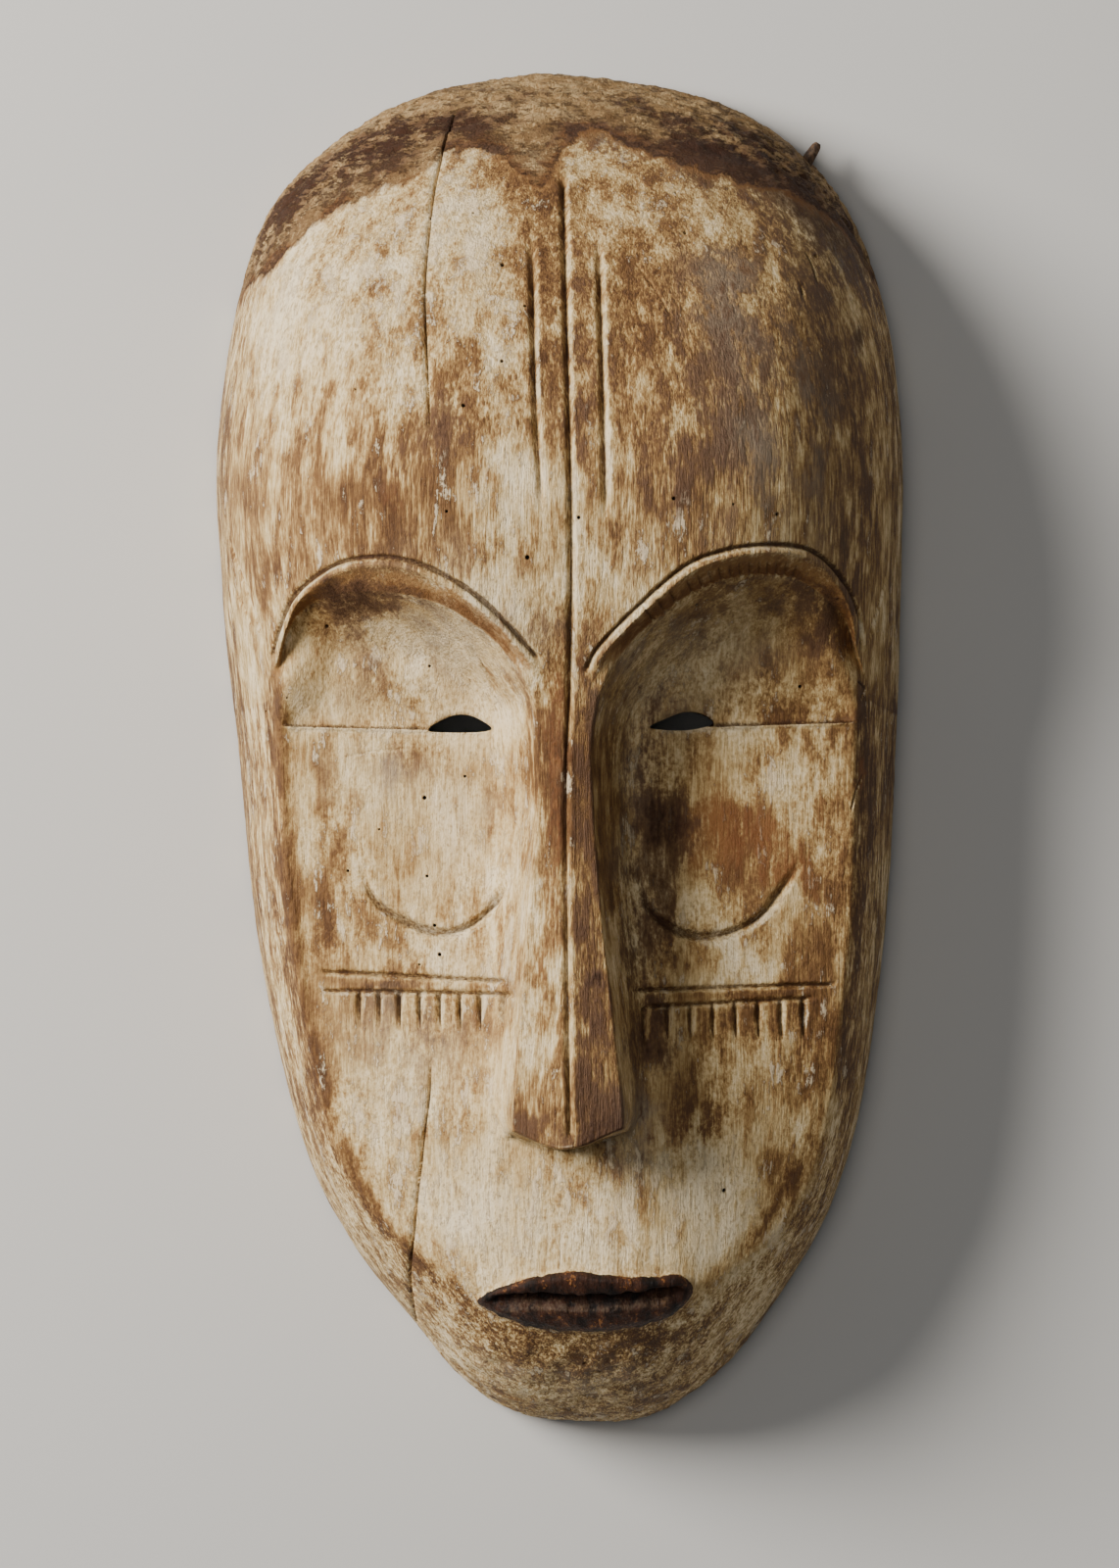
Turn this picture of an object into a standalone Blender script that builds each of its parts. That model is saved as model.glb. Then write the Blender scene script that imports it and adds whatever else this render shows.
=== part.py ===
"""A long carved wooden face mask, hollow behind, lying face up on its rim.

+X runs to the right of someone looking at the face, +Y towards the crown and +Z out of the face.
The flat back of the rim lies at Z = 0. The mask is carved from one block, and a small peg is driven
into the edge beside the crown.
"""
import math

import bmesh
import bpy
import numpy as np

# Overall size in metres
WIDTH = 0.280
LENGTH = 0.550
DEPTH = 0.150

# Thickness left at the rim, and behind the face where the hollow comes closest to it
RIM_WALL = 0.012
FACE_WALL = 0.012

# Width and depth of the cuts made with the knife
GROOVE_WIDTH, GROOVE_DEPTH = 0.0036, 0.0020
BROW_GROOVE_WIDTH, BROW_GROOVE_DEPTH = 0.0042, 0.0020
FINE_WIDTH, FINE_DEPTH = 0.0028, 0.0012
MOUTH_WIDTH, MOUTH_DEPTH = 0.0068, 0.0090

# The roll between each brow groove and the hollow under it, and the rise of the lips, whose slope lies
# partly outside their line
BROW_ROLL = 0.0032
LIP_RISE, LIP_EDGE = 0.0050, 0.0040
LIP_OUTSIDE = 0.4

# The peg and the hole that it sits in
PEG_WIDTH, PEG_TIP_WIDTH = 0.0056, 0.0040
PEG_PROUD, PEG_SUNK = 0.0072, 0.0080
PEG_HEIGHT = 0.016
PEG_CLEARANCE = 0.0003

# How widely the edges of the carving are rounded
EDGE_BLEND = 0.0030

# The carving is laid out on a board of 280 by 550 by 143 units, which these three sizes bring to the
# mask's own width, length and depth. Places below are given on that board, across and along from its
# middle, and heights are given from the rim.
ACROSS = WIDTH / 280
ALONG = LENGTH / 550
OUT = DEPTH / 143

# The rim, once round from the crown to the right cheek, the chin and the left cheek
OUTLINE = [
    (10, 275), (68, 263), (109, 233), (131, 188), (140, 130), (140, 60), (138, 3), (132, -87), (115, -177),
    (78, -240), (43, -270), (8, -275), (-25, -268), (-54, -241), (-99, -177), (-122, -87), (-132, 3),
    (-139, 73), (-140, 130), (-128, 198), (-108, 234), (-67, 263), (-25, 274),
]
# Along the mask: the height of its middle line, and how squarely it falls away to the sides
CREST = [(-275, 112), (-222, 126), (-150, 132), (-60, 130), (0, 130), (25, 133), (60, 141), (120, 149),
         (170, 147), (220, 140), (275, 128)]
SQUARENESS = [(-275, 4.0), (-200, 4.0), (-100, 3.5), (0, 3.0), (60, 2.7), (150, 2.5), (275, 2.4)]
SIDE_ROUNDING = 2.2

# The sunken heart-shaped face: its middle line, height along it, and fall towards the cheeks
MIDDLE = [(-275, 10.5), (-219, 9.5), (-155, 4.0), (-93, 3.4), (0, 2.6), (28, 4.2), (90, 4.6), (275, 1.0)]
FLOOR = [(-260, 107), (-219, 105), (-195, 104), (-155, 102), (-77, 95), (8, 91), (30, 94), (60, 101),
         (80, 107)]
CHEEK_FALL = [(-250, 118), (-219, 84), (-212, 69), (-195, 51), (-155, 29), (-116, 18), (-77, 13), (8, 7),
              (30, 9), (60, 14)]
CHEEK_REACH = 110
EYE_DISH = {"out": 38, "along": -40, "width": 30, "length": 60, "depth": 3.0}

# The brows and the nose stand out of the face as one form. The groove over each brow:
BROW_LEFT = [(-114.5, 35.5), (-111, 46.5), (-104.5, 59.5), (-88.5, 70.5), (-71.5, 73.5), (-54, 70.5),
             (-34.5, 60), (-19.5, 46.5), (-8.5, 34)]
BROW_RIGHT = [(10.5, 29.5), (15.5, 38.5), (30.5, 54), (49.5, 70), (67, 76.5), (84, 78.5), (99.5, 76.5),
              (111.5, 66.5), (118.5, 53.5), (120.5, 39)]
# The edge of the form, under the left brow and down the nose, round the tip, and back up on the right
EDGE_LEFT = [(-150, 10), (-116, 18), (-110.5, 33), (-106.5, 47), (-95.5, 57), (-74, 60.5), (-54.5, 57.5),
             (-39, 51), (-25, 40.5), (-14.5, 27), (-9.5, 12), (-9, -30.5), (-12.5, -68.5), (-18, -137.5),
             (-18.5, -150.5)]
EDGE_TIP = [(-18.5, -150.5), (2, -157.5), (25, -149.5)]
EDGE_RIGHT = [(25, -149.5), (24.5, -137.5), (17, -68.5), (13.5, -25), (13, 5), (19, 27.5), (32.5, 45),
              (50, 58.5), (65.5, 65), (80, 67), (93.5, 65.5), (106.5, 57.5), (114.5, 47.5), (119, 33),
              (124, 18), (150, 10)]
# The slope from that edge down to the face: how wide it is along the mask, and how much it hollows
COVE_WIDTH = [(-158, 8), (-145, 11), (-110, 13), (-60, 16), (0, 19), (25, 22), (45, 28), (70, 32)]
COVE_HOLLOW = 2.0
# The bevel under each roll, which runs out towards the bridge and the temples
BEVEL_DROP, BEVEL_FROM, BEVEL_TO = 9, 22, 44
# The crest of the rolls goes on over the bridge and out past both temples through these places
TEMPLE_LEFT, BRIDGE, TEMPLE_RIGHT = [(-150, 8), (-122, 12)], [(2.6, -10)], [(128, 12), (150, 8)]
# The roof of the nose: the height of its ridge, its pitch, and how it fades into the forehead, towards the
# lip and to the sides
RIDGE = [(-165, 141), (-150, 141), (-100, 137), (-60, 133.5), (-20, 131), (26, 132)]
RIDGE_PITCH = 0.26
ROOF_TOP, ROOF_TOP_FADE = 40, 40
ROOF_END, ROOF_END_FADE = -185, 20
ROOF_REACH, ROOF_SIDE_FADE = 60, 25

# The mouth
LIPS = [(-33, -220), (-16, -211.5), (8, -207.5), (30, -209.5), (52, -214), (46, -225), (15, -232.5),
        (-16, -229.5), (-26, -225.5)]
MOUTH = [(-26, -220), (11, -219.5), (50, -215.5)]

# Grooves down the forehead and the nose
CENTRE_GROOVE = [(1.5, 224.5), (2.5, 176.5), (4.5, 88.5), (4, 27), (2.5, -15), (2.5, -53.5), (4, -153)]
FLANK_GROOVES = [[(-11, 197), (-9.5, 137.5), (-7, 92)], [(15.5, 197), (17, 137.5), (18, 89)]]
# Lines from the eyes to the borders of the face, crescents on the cheeks, and marks on the temples
EYE_LINES = [[(-110, 8.5), (-50, 7)], [(59, 8.5), (117.5, 10)]]
CRESCENTS = [[(-79, -47.5), (-71, -63.5), (-48, -74), (-31, -68), (-19.5, -51)],
             [(31.5, -50), (38, -67), (56, -75.5), (78, -69), (95, -47.5)]]
TEMPLE_MARKS = [[(-132.5, 83), (-125, 61.5), (-117, 38)], [(131, 69), (123, 41.5)]]
# Combs on the cheeks: two bars each, and the row of teeth that hangs under them
BARS = [[(-94.5, -89.5), (-21.5, -93)], [(-94.5, -97), (-18.5, -98)],
        [(30, -96.5), (109.5, -94.5)], [(34.5, -103), (100.5, -100)]]
TEETH = 8
TOOTH_ROWS = [{"first": (-79.5, -98), "last": (-23.5, -98.5), "length": 12},
              {"first": (34, -103.5), "last": (97, -101), "length": 12.5}]

# Slits cut right through for the eyes
EYES = [[(-52, 6.2), (-46.5, 10.5), (-39.5, 12.5), (-32.5, 11), (-27, 6.5), (-39.5, 5.3)],
        [(36, 7.2), (42.5, 11), (50, 13.5), (57, 12.5), (61, 8.8), (50, 6.2)]]

# The plain hollow behind: the front that it has to stay under, and its shape across
BACKING = [(-275, 96), (-219, 97), (-150, 93), (-60, 85), (10, 83), (60, 93), (110, 118), (170, 132),
           (220, 122), (275, 104)]
HOLLOW_SQUARENESS, HOLLOW_ROUNDING = 3.6, 2.4

# Where the peg stands on the outline, and which way it leans, in degrees from +X
PEG_BEARING, PEG_LEAN = 67.0, 58.0

# Fineness of the meshes, how shallow a groove ends, how much the grid crowds to the rim, and how far a
# cutter runs on past what it cuts
GRID = (190, 360)
HOLLOW_GRID = (40, 72)
MASK_FACES, HOLLOW_FACES = 4600, 900
PEG_SIDES = 20
GROOVE_STEP = 0.009
GROOVE_END = 0.3
CROWDING = 0.6
OVERRUN = 0.010


def placed(points):
    """Brings places on the board to metres."""
    return [(x * ACROSS, y * ALONG) for x, y in points]


def smooth_line(points, closed=False, steps=8):
    """A smooth line through the points."""
    points = np.array(points, float)
    count = len(points)
    if closed:
        spans = [points[[(start + k) % count for k in (-1, 0, 1, 2)]] for start in range(count)]
    else:
        ends = np.vstack([2 * points[0] - points[1], points, 2 * points[-1] - points[-2]])
        spans = [ends[start:start + 4] for start in range(count - 1)]
    share = np.linspace(0, 1, steps, endpoint=False)[:, None]
    line = []
    for before, start, end, after in spans:
        bend = 2 * before - 5 * start + 4 * end - after
        twist = 3 * start - before - 3 * end + after
        line.append(0.5 * (2 * start + (end - before) * share + bend * share ** 2 + twist * share ** 3))
    if not closed:
        line.append(points[-1:])
    return np.vstack(line)


def distance_to(x, y, line):
    """Distance from each place to the nearest part of a line."""
    nearest = np.full(x.shape, np.inf)
    for (start_x, start_y), (end_x, end_y) in zip(line[:-1], line[1:]):
        run_x, run_y = end_x - start_x, end_y - start_y
        share = ((x - start_x) * run_x + (y - start_y) * run_y) / max(run_x ** 2 + run_y ** 2, 1e-18)
        share = np.clip(share, 0, 1)
        nearest = np.minimum(nearest, np.hypot(x - start_x - share * run_x, y - start_y - share * run_y))
    return nearest


def inside(x, y, ring):
    """True where a place lies inside the closed ring."""
    found = np.zeros(x.shape, bool)
    for (start_x, start_y), (end_x, end_y) in zip(ring, np.roll(ring, -1, axis=0)):
        if start_y == end_y:
            continue
        crossing = (end_x - start_x) * (y - start_y) / (end_y - start_y) + start_x
        found ^= ((start_y > y) != (end_y > y)) & (x < crossing)
    return found


def between(place, stations):
    """The size at each place along the mask, on a smooth curve through the stations."""
    places, sizes = np.array(stations, float).T
    spans = np.diff(places)
    slopes = np.diff(sizes) / spans
    turning = slopes[:-1] * slopes[1:] <= 0
    total = np.where(turning, 1.0, slopes[:-1] + slopes[1:])
    middle = np.where(turning, 0.0, 2 * slopes[:-1] * slopes[1:] / total)
    tangents = np.concatenate([slopes[:1], middle, slopes[-1:]])
    place = np.clip(place, places[0], places[-1])
    span = np.clip(np.searchsorted(places, place) - 1, 0, len(spans) - 1)
    share = (place - places[span]) / spans[span]
    rest = 1 - share
    return (sizes[span] * (1 + 2 * share) * rest ** 2 + spans[span] * tangents[span] * share * rest ** 2
            + sizes[span + 1] * share ** 2 * (3 - 2 * share)
            - spans[span] * tangents[span + 1] * share ** 2 * rest)


def ease(share):
    """Runs gently from 0 to 1."""
    share = np.clip(share, 0, 1)
    return share ** 2 * (3 - 2 * share)


def lower_of(first, second, blend):
    """The lower of two surfaces, rounded where they meet."""
    share = np.clip(0.5 + 0.5 * (second - first) / blend, 0, 1)
    return second * (1 - share) + first * share - blend * share * (1 - share)


def reach(bearing, inset=0.0):
    """Distance from the middle to the outline, or to one that lies inset from it, on each bearing."""
    ring = smooth_line(OUTLINE, closed=True)
    low, high = ring.min(axis=0), ring.max(axis=0)
    ring = (ring - (low + high) / 2) * (np.array([WIDTH, LENGTH]) - 2 * inset) / (high - low)
    bearings = np.arctan2(ring[:, 1], ring[:, 0])
    return np.interp(bearing, bearings[::-1], np.hypot(*ring.T)[::-1], period=2 * math.pi)


def share_out(x, y, inset=0.0):
    """0 at the middle, 1 on the outline."""
    return np.clip(np.hypot(x, y) / reach(np.arctan2(y, x), inset), 0, 1)


def block_surface(x, y):
    """The smooth outside of the block before the face is carved."""
    along = y / ALONG
    fullness = 1 - share_out(x, y) ** between(along, SQUARENESS)
    return between(along, CREST) * OUT * fullness ** (1 / SIDE_ROUNDING)


def face_floor(x, y):
    """The floor of the sunken face, lowest at the cheeks and a little dished under the eyes."""
    along = y / ALONG
    out = np.abs(x / ACROSS - between(along, MIDDLE))
    dish = EYE_DISH["depth"] * np.exp(-((out - EYE_DISH["out"]) / EYE_DISH["width"]) ** 2)
    dish = dish * np.exp(-((along - EYE_DISH["along"]) / EYE_DISH["length"]) ** 2)
    return (between(along, FLOOR) - between(along, CHEEK_FALL) * (out / CHEEK_REACH) ** 2 - dish) * OUT


def open_below(line):
    """Closes a line over both brows into a ring that takes in everything under them."""
    low = -LENGTH
    return np.vstack([line, [(WIDTH, line[-1][1]), (WIDTH, low), (-WIDTH, low), (-WIDTH, line[0][1])]])


def roll_line(brow):
    """The crest of the roll, which runs beside the brow groove."""
    line = smooth_line(placed(brow))
    run = np.gradient(line, axis=0)
    run /= np.linalg.norm(run, axis=1)[:, None]
    return line + BROW_ROLL * np.column_stack([run[:, 1], -run[:, 0]])


def raised_form(x, y, from_edge, in_face):
    """The forehead and the roof of the nose, with a bevel under each roll."""
    along = y / ALONG
    out = np.abs(x / ACROSS - between(along, MIDDLE))
    form = block_surface(x, y)
    roof = (between(along, RIDGE) - RIDGE_PITCH * out) * OUT
    down_the_nose = ease((ROOF_TOP - along) / ROOF_TOP_FADE) * ease((along - ROOF_END) / ROOF_END_FADE)
    form = form + (roof - form) * down_the_nose * ease((ROOF_REACH - out) / ROOF_SIDE_FADE)
    rolls = np.vstack([placed(TEMPLE_LEFT), roll_line(BROW_LEFT), placed(BRIDGE), roll_line(BROW_RIGHT),
                       placed(TEMPLE_RIGHT)])
    under_roll = inside(x, y, open_below(rolls))
    from_roll = distance_to(x, y, rolls)
    down = np.where(in_face, 1.0, from_roll / (from_roll + from_edge + 1e-9))
    bevel = BEVEL_DROP * OUT * ease((along - BEVEL_FROM) / (BEVEL_TO - BEVEL_FROM))
    return form - np.where(under_roll | in_face, bevel * down, 0.0)


def mask_surface(x, y):
    """Height of the carved front over the rim, without the knife cuts."""
    edge = np.vstack([smooth_line(placed(line)) for line in (EDGE_LEFT, EDGE_TIP, EDGE_RIGHT)])
    in_face = inside(x, y, open_below(edge))
    from_edge = distance_to(x, y, edge)
    form = raised_form(x, y, from_edge, in_face)
    floor = face_floor(x, y)
    share = from_edge / (between(y / ALONG, COVE_WIDTH) * ACROSS)
    cove = np.where(in_face, np.clip(1 - share, 0, 1) ** COVE_HOLLOW, 1 + COVE_HOLLOW * share)
    sunk = floor + np.maximum(form - floor, 0) * cove + np.where(in_face, 0.0, from_edge)
    front = lower_of(form, sunk, EDGE_BLEND)

    lips = smooth_line(placed(LIPS), closed=True)
    depth_in = distance_to(x, y, np.vstack([lips, lips[:1]]))
    depth_in = np.where(inside(x, y, lips), depth_in, -depth_in)
    front = front + LIP_RISE * ease((depth_in + LIP_OUTSIDE * LIP_EDGE) / LIP_EDGE)
    return np.where(share_out(x, y) < 1, front, 0.0)


def tooth_lines():
    """The short cuts that hang under the bars."""
    lines = []
    for row in TOOTH_ROWS:
        for share in np.linspace(0, 1, TEETH):
            top = np.array(row["first"]) * (1 - share) + np.array(row["last"]) * share
            lines.append([top, top - [0, row["length"]]])
    return lines


def facing(x, y):
    """Which way the front faces at each place."""
    step = GROOVE_STEP / 4
    rise_x = mask_surface(x + step, y) - mask_surface(x - step, y)
    rise_y = mask_surface(x, y + step) - mask_surface(x, y - step)
    facing_way = np.column_stack([-rise_x, -rise_y, np.full(x.shape, 2 * step)])
    return facing_way / np.linalg.norm(facing_way, axis=1)[:, None]


def hollow_surface(x, y):
    """The plain dome scooped out behind."""
    top = between(y / ALONG, BACKING) * OUT - FACE_WALL
    fullness = 1 - share_out(x, y, RIM_WALL) ** HOLLOW_SQUARENESS
    return top * fullness ** (1 / HOLLOW_ROUNDING)


def make_material(name, colour, roughness):
    material = bpy.data.materials.new(name)
    material.use_nodes = True
    shader = material.node_tree.nodes["Principled BSDF"]
    shader.inputs["Base Color"].default_value = (*colour, 1)
    shader.inputs["Roughness"].default_value = roughness
    shader.inputs["Metallic"].default_value = 0.0
    return material


def make_object(name, shape, collection):
    """Turns a bmesh into an object of the collection, with its faces pointing out."""
    bmesh.ops.recalc_face_normals(shape, faces=shape.faces)
    mesh = bpy.data.meshes.new(name)
    shape.to_mesh(mesh)
    shape.free()
    piece = bpy.data.objects.new(name, mesh)
    collection.objects.link(piece)
    return piece


def make_block(name, surface, inset, grid, collection):
    """A lump with a flat back: a grid drawn out to the outline, lifted to its surface, and skirted."""
    shape = bmesh.new()
    bmesh.ops.create_grid(shape, x_segments=grid[0], y_segments=grid[1], size=1.0)
    square = np.array([vertex.co[:2] for vertex in shape.verts])
    across = square[:, 0] * np.sqrt(1 - square[:, 1] ** 2 / 2)
    along = square[:, 1] * np.sqrt(1 - square[:, 0] ** 2 / 2)
    out = np.clip(np.hypot(across, along), 0, 1)
    bearing = np.arctan2(along * LENGTH, across * WIDTH)
    far = ((1 - CROWDING) * out + CROWDING * np.sin(out * math.pi / 2)) * reach(bearing, inset)
    x, y = far * np.cos(bearing), far * np.sin(bearing)
    for vertex, place in zip(shape.verts, np.column_stack([x, y, surface(x, y)])):
        vertex.co = place
    rim = [edge for edge in shape.edges if edge.is_boundary]
    skirt = bmesh.ops.extrude_edge_only(shape, edges=rim)["geom"]
    for vertex in skirt:
        if isinstance(vertex, bmesh.types.BMVert):
            vertex.co.z = -OVERRUN
    low_edges = [edge for edge in skirt if isinstance(edge, bmesh.types.BMEdge)]
    bmesh.ops.contextual_create(shape, geom=low_edges)
    return make_object(name, shape, collection)


def make_prism(name, ring, low, high, collection):
    """An upright solid with the ring as its outline."""
    shape = bmesh.new()
    face = shape.faces.new([shape.verts.new((x, y, low)) for x, y in ring])
    raised = bmesh.ops.extrude_face_region(shape, geom=[face])["geom"]
    for vertex in raised:
        if isinstance(vertex, bmesh.types.BMVert):
            vertex.co.z = high
    return make_object(name, shape, collection)


def make_grooves(name, lines, width, depth, collection):
    """Long wedges, edge down, that follow the front along each line."""
    shape = bmesh.new()
    for line in lines:
        line = smooth_line(placed(line))
        length = np.concatenate([[0], np.cumsum(np.hypot(*np.diff(line, axis=0).T))])
        stations = np.linspace(0, length[-1], max(3, round(length[-1] / GROOVE_STEP)))
        x, y = (np.interp(stations, length, side) for side in line.T)
        place = np.column_stack([x, y, mask_surface(x, y)])
        out = facing(x, y)
        run = np.gradient(place, axis=0)
        across = np.cross(run, out)
        across /= np.linalg.norm(across, axis=1)[:, None]
        deep = np.full((len(x), 1), depth)
        deep[[0, -1]] *= GROOVE_END
        spread = across * width / 2 * (1 + OVERRUN / 4 / depth)
        lifted = place + out * OVERRUN / 4
        rings = []
        for corners in zip(lifted - spread, lifted + spread, place - out * deep):
            rings.append([shape.verts.new(corner) for corner in corners])
        for ring, after in zip(rings[:-1], rings[1:]):
            for k in range(3):
                shape.faces.new([ring[k], ring[(k + 1) % 3], after[(k + 1) % 3], after[k]])
        shape.faces.new(rings[0])
        shape.faces.new(rings[-1])
    bmesh.ops.triangulate(shape, faces=shape.faces)
    return make_object(name, shape, collection)


def make_rod(name, near_width, far_width, near, far, collection):
    """A round rod along the peg's line, between two distances from the outline."""
    shape = bmesh.new()
    bmesh.ops.create_cone(shape, cap_ends=True, segments=PEG_SIDES, radius1=near_width / 2,
                          radius2=far_width / 2, depth=far - near)
    rod = make_object(name, shape, collection)
    bearing, lean = math.radians(PEG_BEARING), math.radians(PEG_LEAN)
    edge = float(reach(np.array([bearing]))[0])
    middle = (near + far) / 2
    rod.rotation_euler = (0, math.pi / 2, lean)
    rod.location = (edge * math.cos(bearing) + middle * math.cos(lean),
                    edge * math.sin(bearing) + middle * math.sin(lean), PEG_HEIGHT)
    return rod


def cut(piece, cutter):
    """Cuts one piece with another, which stays as a hidden guide."""
    cutter.hide_render = True
    cutter.display_type = "WIRE"
    boolean = piece.modifiers.new("Cut by " + cutter.name, "BOOLEAN")
    boolean.operation = "DIFFERENCE"
    boolean.solver = "EXACT"
    boolean.object = cutter


def thin_out(piece, faces):
    """Keeps about this many triangles, most of them where the carving is."""
    triangles = sum(len(polygon.vertices) - 2 for polygon in piece.data.polygons)
    decimate = piece.modifiers.new("Thin out", "DECIMATE")
    decimate.ratio = min(1.0, faces / triangles)


def make_collection(name):
    collection = bpy.data.collections.new(name)
    bpy.context.scene.collection.children.link(collection)
    return collection


def make_mask(parts, cutters):
    mask = make_block("mask", mask_surface, 0.0, GRID, parts)
    thin_out(mask, MASK_FACES)
    saw = make_prism("back_saw", [(-WIDTH, -LENGTH), (WIDTH, -LENGTH), (WIDTH, LENGTH), (-WIDTH, LENGTH)],
                     -2 * OVERRUN, 0.0, cutters)
    cut(mask, saw)
    hollow = make_block("hollow", hollow_surface, RIM_WALL, HOLLOW_GRID, cutters)
    thin_out(hollow, HOLLOW_FACES)
    cut(mask, hollow)
    for side, eye in zip(("left", "right"), EYES):
        ring = smooth_line(placed(eye), closed=True, steps=3)
        cut(mask, make_prism("eye_slit_" + side, ring, DEPTH / 4, DEPTH, cutters))
    grooves = {
        "centre_grooves": ([CENTRE_GROOVE] + FLANK_GROOVES, GROOVE_WIDTH, GROOVE_DEPTH),
        "brow_grooves": ([BROW_LEFT, BROW_RIGHT], BROW_GROOVE_WIDTH, BROW_GROOVE_DEPTH),
        "fine_grooves": (EYE_LINES + CRESCENTS + TEMPLE_MARKS + BARS, FINE_WIDTH, FINE_DEPTH),
        "teeth": (tooth_lines(), FINE_WIDTH, FINE_DEPTH),
        "mouth": ([MOUTH], MOUTH_WIDTH, MOUTH_DEPTH),
    }
    for name, (lines, width, depth) in grooves.items():
        cut(mask, make_grooves(name, lines, width, depth, cutters))
    hole = make_rod("peg_hole", PEG_WIDTH + 2 * PEG_CLEARANCE, PEG_WIDTH + 2 * PEG_CLEARANCE,
                    -PEG_SUNK - PEG_CLEARANCE, PEG_PROUD, cutters)
    cut(mask, hole)
    mask.data.materials.append(make_material("white clay on worn wood", (0.62, 0.50, 0.34), 0.82))
    return mask


def make_peg(parts):
    peg = make_rod("peg", PEG_WIDTH, PEG_TIP_WIDTH, -PEG_SUNK, PEG_PROUD, parts)
    peg.data.materials.append(make_material("dark peg wood", (0.09, 0.05, 0.03), 0.70))
    return peg


for leftover in list(bpy.data.objects):
    bpy.data.objects.remove(leftover)
PARTS = make_collection("fang mask")
CUTTERS = make_collection("cutters")
make_mask(PARTS, CUTTERS)
make_peg(PARTS)
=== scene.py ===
"""A long carved wooden face mask under worn white clay, lying face up on its rim."""
import math

import bmesh
import bpy
import numpy as np
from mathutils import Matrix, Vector, geometry, kdtree


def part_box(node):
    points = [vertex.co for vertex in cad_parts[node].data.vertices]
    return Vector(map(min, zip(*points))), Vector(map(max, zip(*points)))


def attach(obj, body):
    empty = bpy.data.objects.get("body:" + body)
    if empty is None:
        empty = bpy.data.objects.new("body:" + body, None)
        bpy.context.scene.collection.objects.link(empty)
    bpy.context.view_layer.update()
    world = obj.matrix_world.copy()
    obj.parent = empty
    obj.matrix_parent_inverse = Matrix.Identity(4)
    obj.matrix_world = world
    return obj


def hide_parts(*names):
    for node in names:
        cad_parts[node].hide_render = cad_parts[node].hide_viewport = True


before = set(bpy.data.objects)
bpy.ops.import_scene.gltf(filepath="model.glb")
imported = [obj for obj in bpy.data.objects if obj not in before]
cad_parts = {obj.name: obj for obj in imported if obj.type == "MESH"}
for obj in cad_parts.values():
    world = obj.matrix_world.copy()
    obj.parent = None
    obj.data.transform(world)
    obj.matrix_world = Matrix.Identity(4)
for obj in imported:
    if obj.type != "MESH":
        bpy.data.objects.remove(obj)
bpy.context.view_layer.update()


# The camera
# It looks straight down from three metres on the mask, which lies on its back with the crown at the
# top of the frame. The frame is as long as the strip of floor given here.
CAMERA_HEIGHT = 3.0
FRAME_LENGTH = 0.6414
AIM_ALONG = -0.01505
camera_data = bpy.data.cameras.new("camera")
camera_data.lens = camera_data.sensor_width * CAMERA_HEIGHT / FRAME_LENGTH
camera = bpy.data.objects.new("camera", camera_data)
camera.location = (0, AIM_ALONG, CAMERA_HEIGHT)
bpy.context.scene.collection.objects.link(camera)
bpy.context.scene.camera = camera


# The block of the mask
# One length of light wood, split along its grain and hewn to a long shield that bulges at the forehead.
# It is laid out on a board whose places run across and along from its middle and whose heights run up
# from its rim, in units that are close to millimetres.
low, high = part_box("mask")
BOARD = np.array([280.0, 550.0, 142.7])
UNIT = np.array(high - low) / BOARD
OUTLINE = [
    (10, 275), (68, 263), (109, 233), (131, 188), (140, 130), (140, 60), (138, 3), (132, -87), (115, -177),
    (78, -240), (43, -270), (8, -275), (-25, -268), (-54, -241), (-99, -177), (-122, -87), (-132, 3),
    (-139, 73), (-140, 130), (-128, 198), (-108, 234), (-67, 263), (-25, 274),
]
CREST = [(-275, 112), (-222, 126), (-150, 132), (-60, 130), (0, 130), (25, 133), (60, 141), (120, 149),
         (170, 147), (220, 140), (275, 128)]
SQUARENESS = [(-275, 4.0), (-200, 4.0), (-100, 3.5), (0, 3.0), (60, 2.7), (150, 2.5), (275, 2.4)]
SIDE_ROUNDING = 2.2
# Outside this share of the way out, the meshes are laid out as if the steep sides were folded flat
FOLD, SPREAD = 0.75, 1.5


def smooth_line(points, closed=False, steps=8):
    """A smooth line through the points."""
    points = np.array(points, float)
    count = len(points)
    if closed:
        spans = [points[[(start + k) % count for k in (-1, 0, 1, 2)]] for start in range(count)]
    else:
        ends = np.vstack([2 * points[0] - points[1], points, 2 * points[-1] - points[-2]])
        spans = [ends[start:start + 4] for start in range(count - 1)]
    share = np.linspace(0, 1, steps, endpoint=False)[:, None]
    line = []
    for before, start, end, after in spans:
        bend = 2 * before - 5 * start + 4 * end - after
        twist = 3 * start - before - 3 * end + after
        line.append(0.5 * (2 * start + (end - before) * share + bend * share ** 2 + twist * share ** 3))
    if not closed:
        line.append(points[-1:])
    return np.vstack(line)


def between(place, stations):
    """The size at each place along the mask, on a smooth curve through the stations."""
    places, sizes = np.array(stations, float).T
    spans = np.diff(places)
    slopes = np.diff(sizes) / spans
    turning = slopes[:-1] * slopes[1:] <= 0
    total = np.where(turning, 1.0, slopes[:-1] + slopes[1:])
    middle = np.where(turning, 0.0, 2 * slopes[:-1] * slopes[1:] / total)
    tangents = np.concatenate([slopes[:1], middle, slopes[-1:]])
    place = np.clip(place, places[0], places[-1])
    span = np.clip(np.searchsorted(places, place) - 1, 0, len(spans) - 1)
    share = (place - places[span]) / spans[span]
    rest = 1 - share
    return (sizes[span] * (1 + 2 * share) * rest ** 2 + spans[span] * tangents[span] * share * rest ** 2
            + sizes[span + 1] * share ** 2 * (3 - 2 * share)
            - spans[span] * tangents[span + 1] * share ** 2 * rest)


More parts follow.
